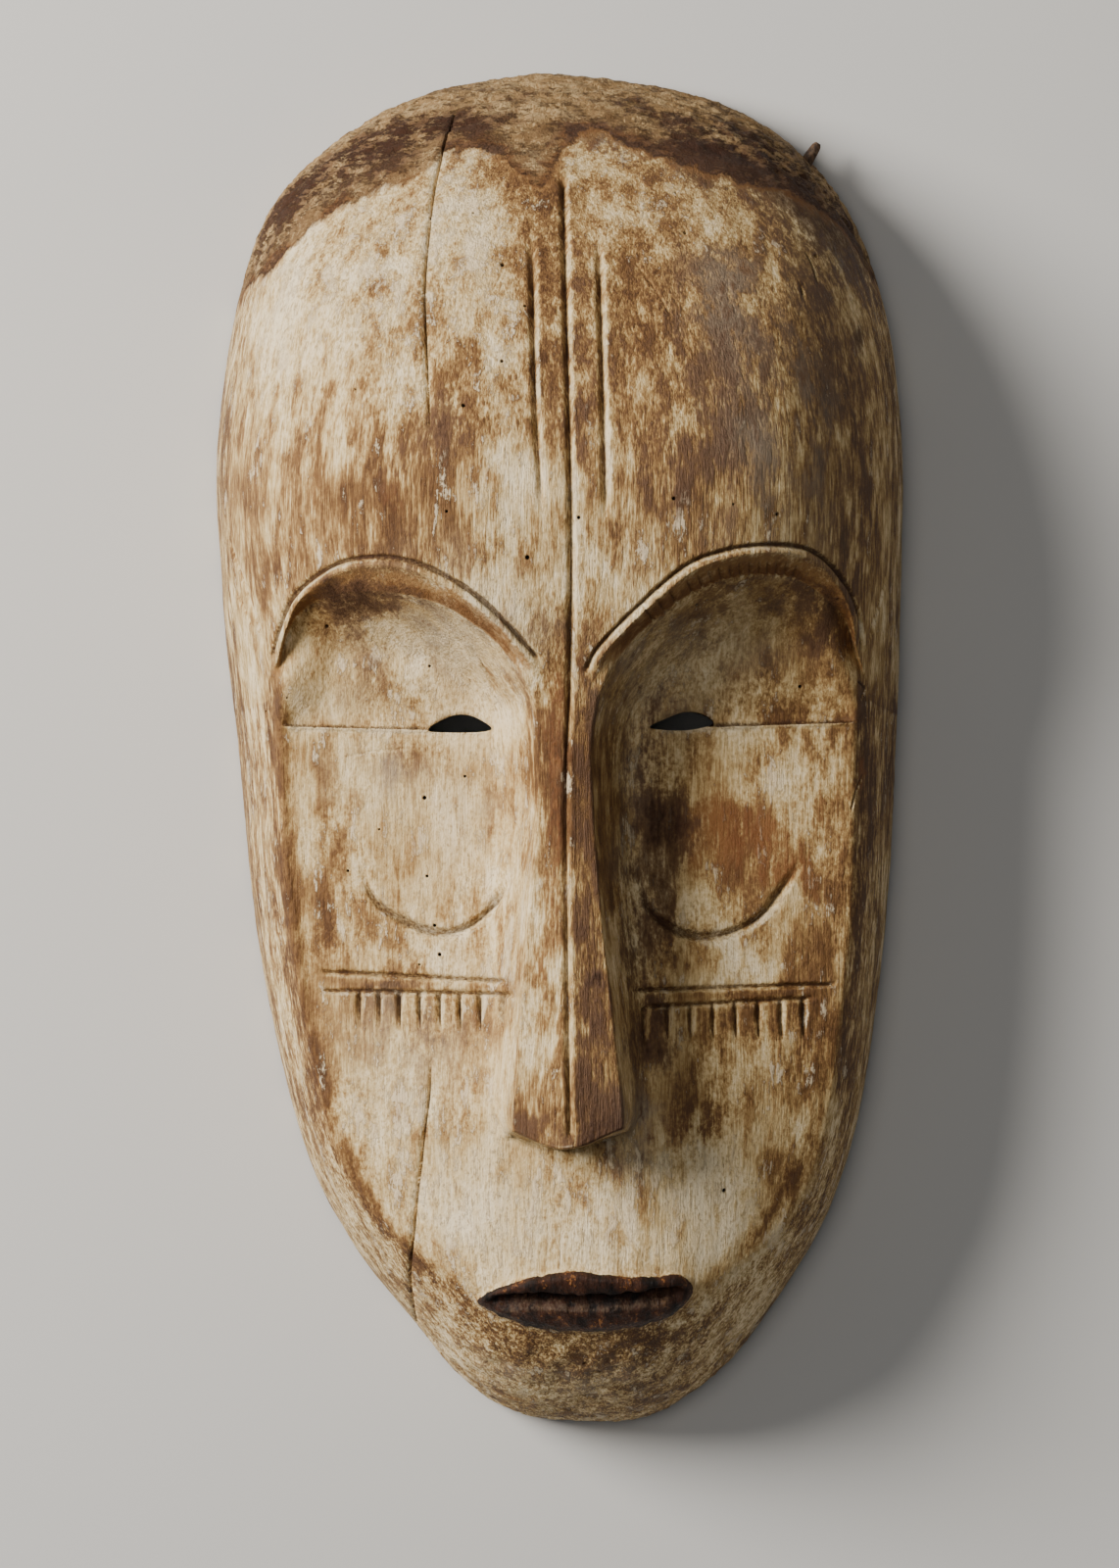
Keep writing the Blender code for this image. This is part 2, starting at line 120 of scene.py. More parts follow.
def ease(share):
    """Runs gently from 0 to 1."""
    share = np.clip(share, 0, 1)
    return share ** 2 * (3 - 2 * share)


def near_line(x, y, line, within=np.inf):
    """The places within reach of a line, how far off it they are, and how far along it."""
    low_x, low_y = line.min(axis=0) - within
    high_x, high_y = line.max(axis=0) + within
    near = np.flatnonzero((x > low_x) & (x < high_x) & (y > low_y) & (y < high_y))
    x, y = x[near], y[near]
    off, run, passed = np.full(x.shape, np.inf), np.zeros(x.shape), 0.0
    for (start_x, start_y), (end_x, end_y) in zip(line[:-1], line[1:]):
        run_x, run_y = end_x - start_x, end_y - start_y
        length = math.hypot(run_x, run_y)
        share = ((x - start_x) * run_x + (y - start_y) * run_y) / max(length ** 2, 1e-12)
        share = np.clip(share, 0, 1)
        here = np.hypot(x - start_x - share * run_x, y - start_y - share * run_y)
        closer = here < off
        off[closer] = here[closer]
        run[closer] = passed + share[closer] * length
        passed += length
    return near, off, run


def distance_to(x, y, line):
    """Distance from every place to a line."""
    return near_line(x, y, line)[1]


def inside(x, y, ring):
    """True where a place lies inside the closed ring."""
    found = np.zeros(x.shape, bool)
    for (start_x, start_y), (end_x, end_y) in zip(ring, np.roll(ring, -1, axis=0)):
        if start_y == end_y:
            continue
        crossing = (end_x - start_x) * (y - start_y) / (end_y - start_y) + start_x
        found ^= ((start_y > y) != (end_y > y)) & (x < crossing)
    return found


def lower_of(first, second, blend):
    """The lower of two surfaces, rounded where they meet."""
    share = np.clip(0.5 + 0.5 * (second - first) / blend, 0, 1)
    return second * (1 - share) + first * share - blend * share * (1 - share)


def wander(x, y, size, seed, along=1.0):
    """Smooth random values from -1 to 1, in lumps of this size, drawn out along the grain."""
    table = np.random.default_rng(seed).uniform(-1, 1, (64, 64))
    across, down = x / size, y / (size * along)
    column, row = np.floor(across).astype(int), np.floor(down).astype(int)
    share_x, share_y = ease(across - column), ease(down - row)
    corner = [table[(column + i) % 64, (row + j) % 64] for i in (0, 1) for j in (0, 1)]
    first = corner[0] * (1 - share_y) + corner[1] * share_y
    second = corner[2] * (1 - share_y) + corner[3] * share_y
    return first * (1 - share_x) + second * share_x


def scoops(x, y, width, length, seed):
    """Shallow hollows side by side, 0 in the middle of each and highest where their edges meet."""
    table = np.random.default_rng(seed).uniform(0.1, 0.9, (2, 64, 64))
    across, down = x / width, y / length
    column, row = np.floor(across).astype(int), np.floor(down).astype(int)
    nearest = np.full(x.shape, np.inf)
    for i in (-1, 0, 1):
        for j in (-1, 0, 1):
            off_x = column + i + table[0, (column + i) % 64, (row + j) % 64] - across
            off_y = row + j + table[1, (column + i) % 64, (row + j) % 64] - down
            nearest = np.minimum(nearest, off_x ** 2 + off_y ** 2)
    return nearest


def reach(bearing, inset=0.0):
    """Distance from the middle to the outline, or to one that lies inset from it, on each bearing."""
    ring = smooth_line(OUTLINE, closed=True)
    lowest, highest = ring.min(axis=0), ring.max(axis=0)
    ring = (ring - (lowest + highest) / 2) * (BOARD[:2] - 2 * inset) / (highest - lowest)
    bearings = np.arctan2(ring[:, 1], ring[:, 0])
    return np.interp(bearing, bearings[::-1], np.hypot(*ring.T)[::-1], period=2 * math.pi)


def way_out(x, y, inset=0.0):
    """How far out each place lies, as a share of the way to the outline."""
    return np.hypot(x, y) / reach(np.arctan2(y, x), inset)


def share_out(x, y, inset=0.0):
    """0 at the middle, 1 on the outline."""
    return np.clip(way_out(x, y, inset), 0, 1)


def folded_up(u, v, inset=0.0):
    """From the flat layout to places on the board."""
    share = way_out(u, v, inset)
    folded = np.clip((share - FOLD) / (SPREAD - FOLD), 0, 1)
    place = np.where(share < FOLD, share, FOLD + (1 - FOLD) * (1 - (1 - folded) ** 3))
    scale = np.where(share > 0, place / np.maximum(share, 1e-9), 1.0)
    return u * scale, v * scale


def laid_flat(x, y, inset=0.0):
    """From places on the board to the flat layout."""
    place = share_out(x, y, inset)
    folded = 1 - np.cbrt(np.clip(1 - (place - FOLD) / (1 - FOLD), 0, 1))
    share = np.where(place < FOLD, place, FOLD + (SPREAD - FOLD) * folded)
    scale = np.where(place > 0, share / np.maximum(place, 1e-9), 1.0)
    return x * scale, y * scale


def flat_line(line, inset=0.0):
    """A line on the board, in the flat layout."""
    return np.column_stack(laid_flat(*line.T, inset))


def block_height(x, y):
    """The smooth outside of the block."""
    fullness = 1 - share_out(x, y) ** between(y, SQUARENESS)
    return between(y, CREST) * fullness ** (1 / SIDE_ROUNDING)


# The brows, the nose and the sunken face
# The heart of the face is adzed down below the forehead, so that the brows and the nose stand out of it
# as one form with one crisp edge. A rounded roll runs along each brow, between a groove and a bevel.
MIDDLE = [(-275, 10.5), (-219, 9.5), (-155, 4.0), (-93, 3.4), (0, 2.6), (28, 4.2), (90, 4.6), (275, 1.0)]
FLOOR = [(-260, 107), (-219, 105), (-195, 104), (-155, 102), (-77, 95), (8, 91), (30, 94), (60, 101),
         (80, 107)]
CHEEK_FALL = [(-250, 118), (-219, 84), (-212, 69), (-195, 51), (-155, 29), (-116, 18), (-77, 13), (8, 7),
              (30, 9), (60, 14)]
CHEEK_REACH = 110
EYE_DISH = {"out": 38, "along": -40, "width": 30, "length": 60, "depth": 3.0}
BROW_LEFT = [(-114.5, 35.5), (-111, 46.5), (-104.5, 59.5), (-88.5, 70.5), (-71.5, 73.5), (-54, 70.5),
             (-34.5, 60), (-19.5, 46.5), (-8.5, 34)]
BROW_RIGHT = [(10.5, 29.5), (15.5, 38.5), (30.5, 54), (49.5, 70), (67, 76.5), (84, 78.5), (99.5, 76.5),
              (111.5, 66.5), (118.5, 53.5), (120.5, 39)]
EDGE_LEFT = [(-150, 10), (-116, 18), (-110.5, 33), (-106.5, 47), (-95.5, 57), (-74, 60.5), (-54.5, 57.5),
             (-39, 51), (-25, 40.5), (-14.5, 27), (-9.5, 12), (-9, -30.5), (-12.5, -68.5), (-18, -137.5),
             (-18.5, -150.5)]
EDGE_TIP = [(-18.5, -150.5), (2, -157.5), (25, -149.5)]
EDGE_RIGHT = [(25, -149.5), (24.5, -137.5), (17, -68.5), (13.5, -25), (13, 5), (19, 27.5), (32.5, 45),
              (50, 58.5), (65.5, 65), (80, 67), (93.5, 65.5), (106.5, 57.5), (114.5, 47.5), (119, 33),
              (124, 18), (150, 10)]
COVE_WIDTH = [(-157, 2.2), (-151, 5), (-143, 10), (-110, 13), (-60, 16), (0, 19), (25, 22), (45, 28),
              (70, 32)]
COVE_HOLLOW = 2.0
BEVEL_DROP, BEVEL_FROM, BEVEL_TO = 9, 22, 44
TEMPLE_LEFT, BRIDGE, TEMPLE_RIGHT = [(-150, 8), (-122, 12)], [(2.6, -10)], [(128, 12), (150, 8)]
RIDGE = [(-165, 141), (-150, 141), (-100, 137), (-60, 133.5), (-20, 131), (26, 132)]
RIDGE_PITCH = 0.26
ROOF_TOP, ROOF_TOP_FADE = 40, 40
ROOF_END, ROOF_END_FADE = -185, 20
ROOF_REACH, ROOF_SIDE_FADE = 60, 25
EDGE_BLEND = 1.6
BROW_ROLL, ROLL_RISE, ROLL_WIDTH = 3.2, 1.0, 1.7
# The border of the face on each side, which stands a little proud beside the eyes, and how wide and how
# strong the brown line is that has gathered along it
BORDERS = [
    {"line": [(-112, 16), (-111, 8), (-110, -34), (-106, -74), (-101, -113), (-96, -144), (-86, -171),
              (-71, -199), (-55, -214)], "out": -3.0, "width": 7.5, "warm": 1.0, "dark": 0.2},
    {"line": [(120, 16), (121, 8), (122, -34), (119, -74), (115, -113), (108, -143), (97, -174),
              (77.5, -200), (56, -218)], "out": 1.5, "width": 5.5, "warm": 0.65, "dark": 0.15},
]
BORDER_RISE, BORDER_WIDTH, BORDER_END = 1.5, 2.6, -150

form_edge = np.vstack([smooth_line(line) for line in (EDGE_LEFT, EDGE_TIP, EDGE_RIGHT)])


def roll_line(brow):
    """The crest of the roll, which runs beside the brow groove."""
    line = smooth_line(brow)
    run = np.gradient(line, axis=0)
    run /= np.linalg.norm(run, axis=1)[:, None]
    return line + BROW_ROLL * np.column_stack([run[:, 1], -run[:, 0]])


roll_edge = np.vstack([TEMPLE_LEFT, roll_line(BROW_LEFT), BRIDGE, roll_line(BROW_RIGHT), TEMPLE_RIGHT])


def open_below(line):
    """Closes a line over both brows into a ring that takes in everything under them."""
    return np.vstack([line, [(300, line[-1][1]), (300, -600), (-300, -600), (-300, line[0][1])]])


def face_floor(x, y):
    """The floor of the sunken face, lowest at the cheeks and a little dished under the eyes."""
    out = np.abs(x - between(y, MIDDLE))
    dish = EYE_DISH["depth"] * np.exp(-((out - EYE_DISH["out"]) / EYE_DISH["width"]) ** 2)
    dish = dish * np.exp(-((y - EYE_DISH["along"]) / EYE_DISH["length"]) ** 2)
    return between(y, FLOOR) - between(y, CHEEK_FALL) * (out / CHEEK_REACH) ** 2 - dish


def carved_form(x, y):
    """Height of the carved front, and the measures of it that the stains follow."""
    from_edge = distance_to(x, y, form_edge)
    in_face = inside(x, y, open_below(form_edge))
    out = np.abs(x - between(y, MIDDLE))
    form = block_height(x, y)
    block = form.copy()
    roof = between(y, RIDGE) - RIDGE_PITCH * out
    down_the_nose = ease((ROOF_TOP - y) / ROOF_TOP_FADE) * ease((y - ROOF_END) / ROOF_END_FADE)
    form = form + (roof - form) * down_the_nose * ease((ROOF_REACH - out) / ROOF_SIDE_FADE)
    under_roll = inside(x, y, open_below(roll_edge))
    from_roll = distance_to(x, y, roll_edge)
    down = np.where(in_face, 1.0, from_roll / (from_roll + from_edge + 1e-6))
    bevel = ease((y - BEVEL_FROM) / (BEVEL_TO - BEVEL_FROM))
    form = form - np.where(under_roll | in_face, BEVEL_DROP * bevel * down, 0.0)
    form = form + ROLL_RISE * bevel * np.exp(-(from_roll / ROLL_WIDTH) ** 2)
    floor = face_floor(x, y)
    share = from_edge / between(y, COVE_WIDTH)
    cove = np.where(in_face, np.clip(1 - share, 0, 1) ** COVE_HOLLOW, 1 + COVE_HOLLOW * share)
    sunk = floor + np.maximum(form - floor, 0) * cove + np.where(in_face, 0.0, from_edge)
    sunk_by = np.where(in_face, 1.0, -1.0) * from_edge
    bevel_zone = np.where(under_roll & ~in_face, bevel, 0.0)
    side = np.where(in_face, ease((floor - block) / 3), ease((share_out(x, y) - 0.93) / 0.05))
    front = lower_of(form, sunk, EDGE_BLEND)
    for border in BORDERS:
        off = distance_to(x, y, smooth_line(border["line"]))
        front = front + BORDER_RISE * np.exp(-(off / BORDER_WIDTH) ** 2) * ease((y - BORDER_END) / 60)
    return front, {"from_edge": sunk_by, "bevel": bevel_zone, "side": side}


# The knife cuts
# Long V cuts part the forehead and run down the nose, and shorter ones draw the brows, the lids, the
# crescents and the combs on the cheeks. All were cut with one small blade, so their walls are clean and
# their ends run out shallow.
cuts = []


def knife(lines, width, depth, taper=4.0, tooth=False, dirt_and_shade=1.0):
    """Puts down cuts to be made, each along a smooth line."""
    for line in lines:
        cuts.append({"line": flat_line(smooth_line(line)), "width": width, "depth": depth, "taper": taper,
                     "tooth": tooth, "dirt_and_shade": dirt_and_shade})


CENTRE_GROOVE = [(1.5, 224.5), (2.5, 176.5), (4.5, 88.5), (4, 27), (2.5, -15), (2.5, -53.5), (4, -153)]
FLANK_GROOVES = [[(-11, 197), (-9.5, 137.5), (-7, 92)], [(15.5, 197), (17, 137.5), (18, 89)]]
EYE_LINES = [[(-110, 8.5), (-50, 7)], [(59, 8.5), (117.5, 10)]]
CRESCENTS = [[(-79, -47.5), (-71, -63.5), (-48, -74), (-31, -68), (-19.5, -51)],
             [(31.5, -50), (38, -67), (56, -75.5), (78, -69), (95, -47.5)]]
TEMPLE_MARKS = [[(-132.5, 83), (-125, 61.5), (-117, 38)], [(-130.5, 63.5), (-123, 47.5)],
                [(131, 69), (123, 41.5)]]
BARS = [[(-94.5, -89.5), (-21.5, -93)], [(-94.5, -97), (-18.5, -98)],
        [(30, -96.5), (109.5, -94.5)], [(34.5, -103), (100.5, -100)]]
TEETH = 8
TOOTH_ROWS = [{"first": (-79.5, -98), "last": (-23.5, -98.5), "length": 14},
              {"first": (34, -103.5), "last": (97, -101), "length": 14}]
# Short ticks across the right bevel, evenly from one of these shares of its edge to the other
TICKS, TICK_FROM, TICK_TO, TICK_LENGTH = 15, 0.42, 0.66, 4.5
SMALL_MARKS = [[(-6.5, -124), (-1, -126.5), (0.5, -123)], [(30, 190), (38, 178), (44, 168)],
               [(22, 200), (30, 192)], [(-60, -1), (-72, -2), (-84, -4)]]
DARK_NICKS = [[(98, 196), (100.5, 191), (102.5, 184)], [(95.5, 182), (96.5, 177.5)],
              [(121, -11), (118, -18), (116, -25)], [(118.5, 26), (121.5, 23), (120, 19)]]

knife([CENTRE_GROOVE], 4.2, 2.6, dirt_and_shade=0.75)
knife(FLANK_GROOVES, 4.0, 2.3, taper=10.0, dirt_and_shade=0.7)
knife([BROW_LEFT, BROW_RIGHT], 2.8, 1.9, taper=2.0, dirt_and_shade=1.1)
knife(EYE_LINES, 1.7, 1.1, dirt_and_shade=1.1)
knife(CRESCENTS, 5.2, 2.9, taper=14.0, dirt_and_shade=0.92)
knife(TEMPLE_MARKS, 2.6, 1.3, taper=10.0, dirt_and_shade=0.3)
knife(BARS, 2.8, 2.1, dirt_and_shade=0.85)
for row in TOOTH_ROWS:
    for share in np.linspace(0, 1, TEETH):
        top = np.array(row["first"]) * (1 - share) + np.array(row["last"]) * share
        down = np.array([0, row["length"]])
        knife([[top, top - down / 2, top - down]], 3.8, 2.5, tooth=True, dirt_and_shade=0.95)
tick_edge = smooth_line(EDGE_RIGHT)
for share in np.linspace(TICK_FROM, TICK_TO, TICKS):
    start = tick_edge[int(share * len(tick_edge))]
    run = tick_edge[int(share * len(tick_edge)) + 1] - start
    out_of_face = np.array([-run[1], run[0]]) / math.hypot(*run)
    knife([[start, start + out_of_face * TICK_LENGTH]], 1.7, 0.9, taper=1.0, dirt_and_shade=0.8)
knife(SMALL_MARKS, 1.4, 0.5, dirt_and_shade=0.3)
knife(DARK_NICKS, 1.7, 0.8, taper=2.0, dirt_and_shade=1.25)


# The mouth
# Two thin lips left standing low on the face, blackened and chipped, with a deep slit cut between them.
LIPS = [(-32.5, -220), (-26, -215), (-16, -211), (-4, -208), (8, -207), (18, -208.5), (31, -209.3),
        (46, -209.3), (52, -212.5), (52, -217.5), (46, -224.5), (33, -229.5), (15, -232), (-2, -231.5),
        (-16, -229), (-26, -224.5)]
MOUTH = [(-27, -220.5), (-8, -219.4), (11, -220), (30, -218.8), (49, -215.8)]
LIP_RISE, LIP_SLOPE, LIP_START = 3.6, 3.4, 0.4
lip_ring = smooth_line(LIPS, closed=True)
knife([MOUTH], 8.0, 8.5, taper=8.0)


def lip_rise(x, y):
    """How far the lips stand up at each place, and how far inside their line it lies."""
    off = distance_to(x, y, np.vstack([lip_ring, lip_ring[:1]]))
    off = np.where(inside(x, y, lip_ring), off, -off)
    off = off + 0.5 * wander(x, y, 3.6, 41) * ease((off + 4) / 4)
    rise = LIP_RISE * ease((off + LIP_START * LIP_SLOPE) / LIP_SLOPE)
    return rise + ease(off / 3) * (0.25 * wander(x, y, 2.3, 42, 2.0) + 0.35 * wander(x, y, 6.0, 43)), off


# The eyes
# A narrow slit is cut right through the wood at the inner end of each lid line. The lid above the line
# lies a little deeper than the cheek, whose top edge is left as a thin ledge, painted pale as a highlight.
EYES = [[(-52, 6.2), (-46.5, 10.5), (-39.5, 12.5), (-32.5, 11), (-27, 6.5), (-39.5, 5.3)],
        [(36, 7.2), (42.5, 11), (50, 13.5), (57, 12.5), (61, 8.8), (50, 6.2)]]
LID_LINES = [[(-112, 8.5), (-50, 7), (-27, 6)], [(36, 7), (59, 8), (119, 10)]]
LID_DROP, LID_FADE, LID_END = 3.0, 26.0, 8
LEDGE_RISE, LEDGE_WIDTH = 1.2, 2.4
SLIT_STEPS = 10
slits = [smooth_line(eye, closed=True, steps=SLIT_STEPS) for eye in EYES]


def by_lids(x, y):
    """For each lid line, how far over it each place lies, and 1 along it but less near its ends."""
    for line in LID_LINES:
        line = smooth_line(line)
        along = ease((x - line[0, 0]) / LID_END) * ease((line[-1, 0] - x) / LID_END)
        yield y - np.interp(x, line[:, 0], line[:, 1]), along


def lid_step(x, y):
    """How far each place is sunk over a lid line or raised on the ledge below it."""
    rise = np.zeros(x.shape)
    for over, along in by_lids(x, y):
        sunk = -LID_DROP * ease((over + 0.4) / 1.2) * ease(1 - over / LID_FADE)
        ledge = LEDGE_RISE * np.where(over < 0, ease(1 + over / LEDGE_WIDTH), ease(1 - over / 0.8))
        rise = rise + along * (sunk + ledge)
    return rise


# Age
# The wood has checked along its grain in two long cracks and a hairline, beetles have bored it, and the
# crown and the chin are eaten away to rough end grain.
CRACKS = [
    {"line": [(-42, 255.5), (-45.5, 243), (-47.5, 232), (-49.5, 221.5), (-51, 208.5), (-53, 182),
              (-52.5, 161.5), (-50.5, 123.5)], "width": 0.8, "depth": 4.0},
    {"line": [(-51, -124.5), (-51.5, -137.5), (-53.5, -152), (-55, -166.5), (-56.5, -177.5), (-58, -193.5),
              (-59.5, -208.5), (-59, -222.5), (-58, -233.5)], "width": 0.9, "depth": 4.0},
    {"line": [(-38.5, 44.5), (-34, 37.5), (-29, 29), (-24.5, 16.5)], "width": 0.6, "depth": 1.0},
]
WORM_HOLES = [
    (-51, 209), (-22.5, 150), (-37.5, 132.5), (-80, 139.5), (-34, 210.5), (-22.5, 189), (-13.5, 236),
    (-13.5, 172), (-44, 91), (-12.5, 73), (-92, 47), (-51.5, 31.5), (-108, 19), (-117, 13.5), (-37.5, -12),
    (-53.5, -20.5), (-71.5, -33), (-52.5, -51.5), (-49.5, -71), (-47.5, -82.5), (-55.5, -86.5),
    (-109.5, -109.5), (-84, -49.5), (7.5, 88.5), (95.5, 23.5), (54, 55), (65.5, -176), (68, -209),
    (10, -246), (16, -250), (22, -247), (28, -252), (49.5, 202.5), (46, 219), (44.5, 96), (68, 94),
    (85.5, 90.5), (96.5, 183), (102, 195),
]
HOLE_WIDTH, HOLE_DEPTH = 1.35, 2.5
# The lower edge of the worn crown, from side to side
TIDE_LINE = [(-150, 150), (-139, 166), (-130, 178.5), (-116.5, 190), (-93, 211), (-80, 216), (-66, 223),
             (-53, 229), (-44, 236), (-35, 238), (-24, 234), (-13, 226), (-6, 222), (1.5, 232.7),
             (11.2, 246), (34.4, 236.5), (57.7, 228.8), (88.6, 221), (111.8, 209.5), (123.5, 194),
             (135, 180), (150, 168)]
for crack in CRACKS:
    knife([crack["line"]], crack["width"], crack["depth"], taper=30.0)
tide_line = smooth_line(TIDE_LINE)


# The front of the mask as a mesh
# Points lie close where the knife went and wider on plain stretches, and are joined into triangles.
RING_POINTS = 680
rng = np.random.default_rng(7)


def scatter(spacing):
    """Points in a loose triangular pattern over the flat layout, and how far out they lie."""
    across, along = BOARD[0] / 2 * SPREAD, BOARD[1] / 2 * SPREAD
    rows = np.arange(-along, along, spacing * math.sqrt(0.75))
    columns = np.arange(-across, across, spacing)
    u, v = np.meshgrid(columns, rows)
    u = u + spacing / 2 * (np.arange(len(rows)) % 2)[:, None]
    spot = np.column_stack([u.ravel(), v.ravel()]) + rng.uniform(-0.22, 0.22, (u.size, 2)) * spacing
    share = way_out(*spot.T)
    within = share < SPREAD * 0.993
    return spot[within], share[within]


def rows_along(line, offsets, step):
    """Rows of points beside a line, at each of the offsets from it."""
    length = np.concatenate([[0], np.cumsum(np.hypot(*np.diff(line, axis=0).T))])
    stations = np.linspace(-step, length[-1] + step, max(3, round(length[-1] / step) + 2))
    middle = np.column_stack([np.interp(stations, length, side) for side in line.T])
    run = np.gradient(middle, axis=0)
    run /= np.maximum(np.linalg.norm(run, axis=1), 1e-9)[:, None]
    beside = np.column_stack([-run[:, 1], run[:, 0]])
    shift = rng.uniform(-0.12, 0.12, (len(offsets), len(stations), 1)) * step
    return np.vstack([middle + beside * off + run * (shift[k] + step / 2 * (k % 2))
                      for k, off in enumerate(offsets)])


def thinned(points, spacing, apart_from=None):
    """Drops points that crowd each other, or that crowd those they are to stay apart from."""
    cell = np.round(points / spacing)
    points = points[np.unique(cell, axis=0, return_index=True)[1]]
    if apart_from is None:
        return points
    tree = kdtree.KDTree(len(apart_from))
    for index, (u, v) in enumerate(apart_from):
        tree.insert((u, v, 0), index)
    tree.balance()
    return points[[tree.find((u, v, 0))[2] > spacing for u, v in points]]


# Rows of points beside a cut, as shares of half its width
NARROW_ROWS = [-1.6, -0.5, 0, 0.5, 1.6]
WIDE_ROWS = [-1.9, -1.3, -0.95, -0.5, 0, 0.5, 0.95, 1.3, 1.9]
fine = []
for cut in cuts:
    half = cut["width"] / 2
    narrow = cut["width"] < 1.3
    offsets = np.array(NARROW_ROWS if narrow else WIDE_ROWS) * half
    fine.append(rows_along(cut["line"], offsets, 0.9 if narrow else 1.0))
for line, offsets in ((form_edge, (-3.4, -2.2, -1.2, -0.4, 0.4, 1.2, 2.2, 3.4)),
                      (roll_edge, (-2.2, -1.1, 0, 1.1, 2.2)),
                      (np.vstack([lip_ring, lip_ring[:1]]), np.arange(-4.0, 6.1, 0.9))):
    fine.append(rows_along(flat_line(line), offsets, 1.1))
for line in LID_LINES:
    fine.append(rows_along(smooth_line(line), np.arange(-3.0, 2.1, 0.6), 1.2))
fine = thinned(np.vstack(fine), 0.42)
holes = []
for (x, y), size in zip(WORM_HOLES, rng.uniform(0.55, 1.3, len(WORM_HOLES)) * HOLE_WIDTH / 2):
    spot = np.array(laid_flat(np.array([x]), np.array([y])))[:, 0]
    holes.append({"spot": spot, "size": size})
ring_spots = [np.zeros((1, 2))]
for count, share in ((6, 0.45), (9, 0.8), (10, 1.15), (10, 1.9)):
    turn = np.linspace(0, 2 * math.pi, count, endpoint=False)
    ring_spots.append(share * np.column_stack([np.cos(turn), np.sin(turn)]))
pricks = np.vstack([hole["spot"] + hole["size"] * np.vstack(ring_spots) for hole in holes])
bearing = np.linspace(-math.pi, math.pi, RING_POINTS, endpoint=False)
even = np.column_stack([np.cos(bearing) * BOARD[0], np.sin(bearing) * BOARD[1]])
bearing = np.arctan2(even[:, 1], even[:, 0])


def all_round(far):
    """Places this far from the middle, one on each bearing."""
    return np.column_stack([far * np.cos(bearing), far * np.sin(bearing)])


rim_spots = all_round(SPREAD * reach(bearing))
loops = [rim_spots] + slits
kept_points = np.vstack(loops + [pricks])
fine = thinned(fine, 0.45, kept_points)
fine = fine[share_out(*folded_up(*fine.T)) < 0.998]
kept_points = np.vstack([kept_points, fine])
# The spacing on the worn crown, on the face and forehead and on the steep sides, and how far the points
# stay from the fine ones
ZONES = [("crown", 2.1, 0.9), ("face", 2.4, 1.1), ("sides", 3.1, 1.6)]
BELOW_TIDE, CROWN_END, FACE_END = 6, 1.3, 0.95
plain = []
for zone, spacing, apart in ZONES:
    spots, share = scatter(spacing)
    on_crown = spots[:, 1] > np.interp(spots[:, 0], tide_line[:, 0], tide_line[:, 1]) - BELOW_TIDE
    place = np.where(on_crown & (share < CROWN_END), "crown", np.where(share < FACE_END, "face", "sides"))
    plain.append(thinned(spots[place == zone], apart, kept_points))
plain = np.vstack(plain)


def triangles_over(loops, spots):
    """Joins the loops and the loose points into triangles, open inside every loop after the first."""
    points = np.vstack(loops + [spots])
    sides, rings, start = [], [], 0
    for loop in loops:
        ring = list(range(start, start + len(loop)))
        sides += list(zip(ring, ring[1:] + ring[:1]))
        rings.append(ring)
        start += len(loop)
    found = geometry.delaunay_2d_cdt([Vector(point) for point in points], sides, [rings[0]], 1, 1e-6)
    first_of = np.array([source[0] for source in found[3]])
    faces = first_of[np.array(found[2])]
    centre = points[faces].mean(axis=1)
    for loop in loops[1:]:
        faces = faces[~inside(*centre.T, loop)]
        centre = points[faces].mean(axis=1)
    return points, faces


front_spots, front_faces = triangles_over(loops, np.vstack([pricks, fine, plain]))
u, v = front_spots.T
x, y = folded_up(u, v)
height, form = carved_form(x, y)
lip_height, in_lips = lip_rise(x, y)
height = height + lip_height + np.where(form["from_edge"] > 0, lid_step(x, y), 0.0)
RIM_ROUNDING = 1.8
height = np.where(share_out(x, y) < 1, np.hypot(np.maximum(height, 0), RIM_ROUNDING), RIM_ROUNDING)
front = np.column_stack([x, y, height])


def facing_of(points, faces):
    """Which way the surface faces at each of its points."""
    corners = points[faces]
    normal = np.cross(corners[:, 1] - corners[:, 0], corners[:, 2] - corners[:, 0])
    total = np.zeros(points.shape)
    for corner in range(3):
        for axis in range(3):
            total[:, axis] += np.bincount(faces[:, corner], normal[:, axis], len(points))
    return total / np.maximum(np.linalg.norm(total, axis=1), 1e-9)[:, None]


EVENED_BY = 0.6


def evened(values, faces, rounds=1):
    """Each point's value drawn to the mean of its neighbours."""
    ends = np.vstack([faces[:, [0, 1]], faces[:, [1, 2]], faces[:, [2, 0]]])
    count = np.bincount(ends[:, 0], minlength=len(values))
    for _ in range(rounds):
        total = np.bincount(ends[:, 0], values[ends[:, 1]], len(values))
        values = (1 - EVENED_BY) * values + EVENED_BY * total / np.maximum(count, 1)
    return values
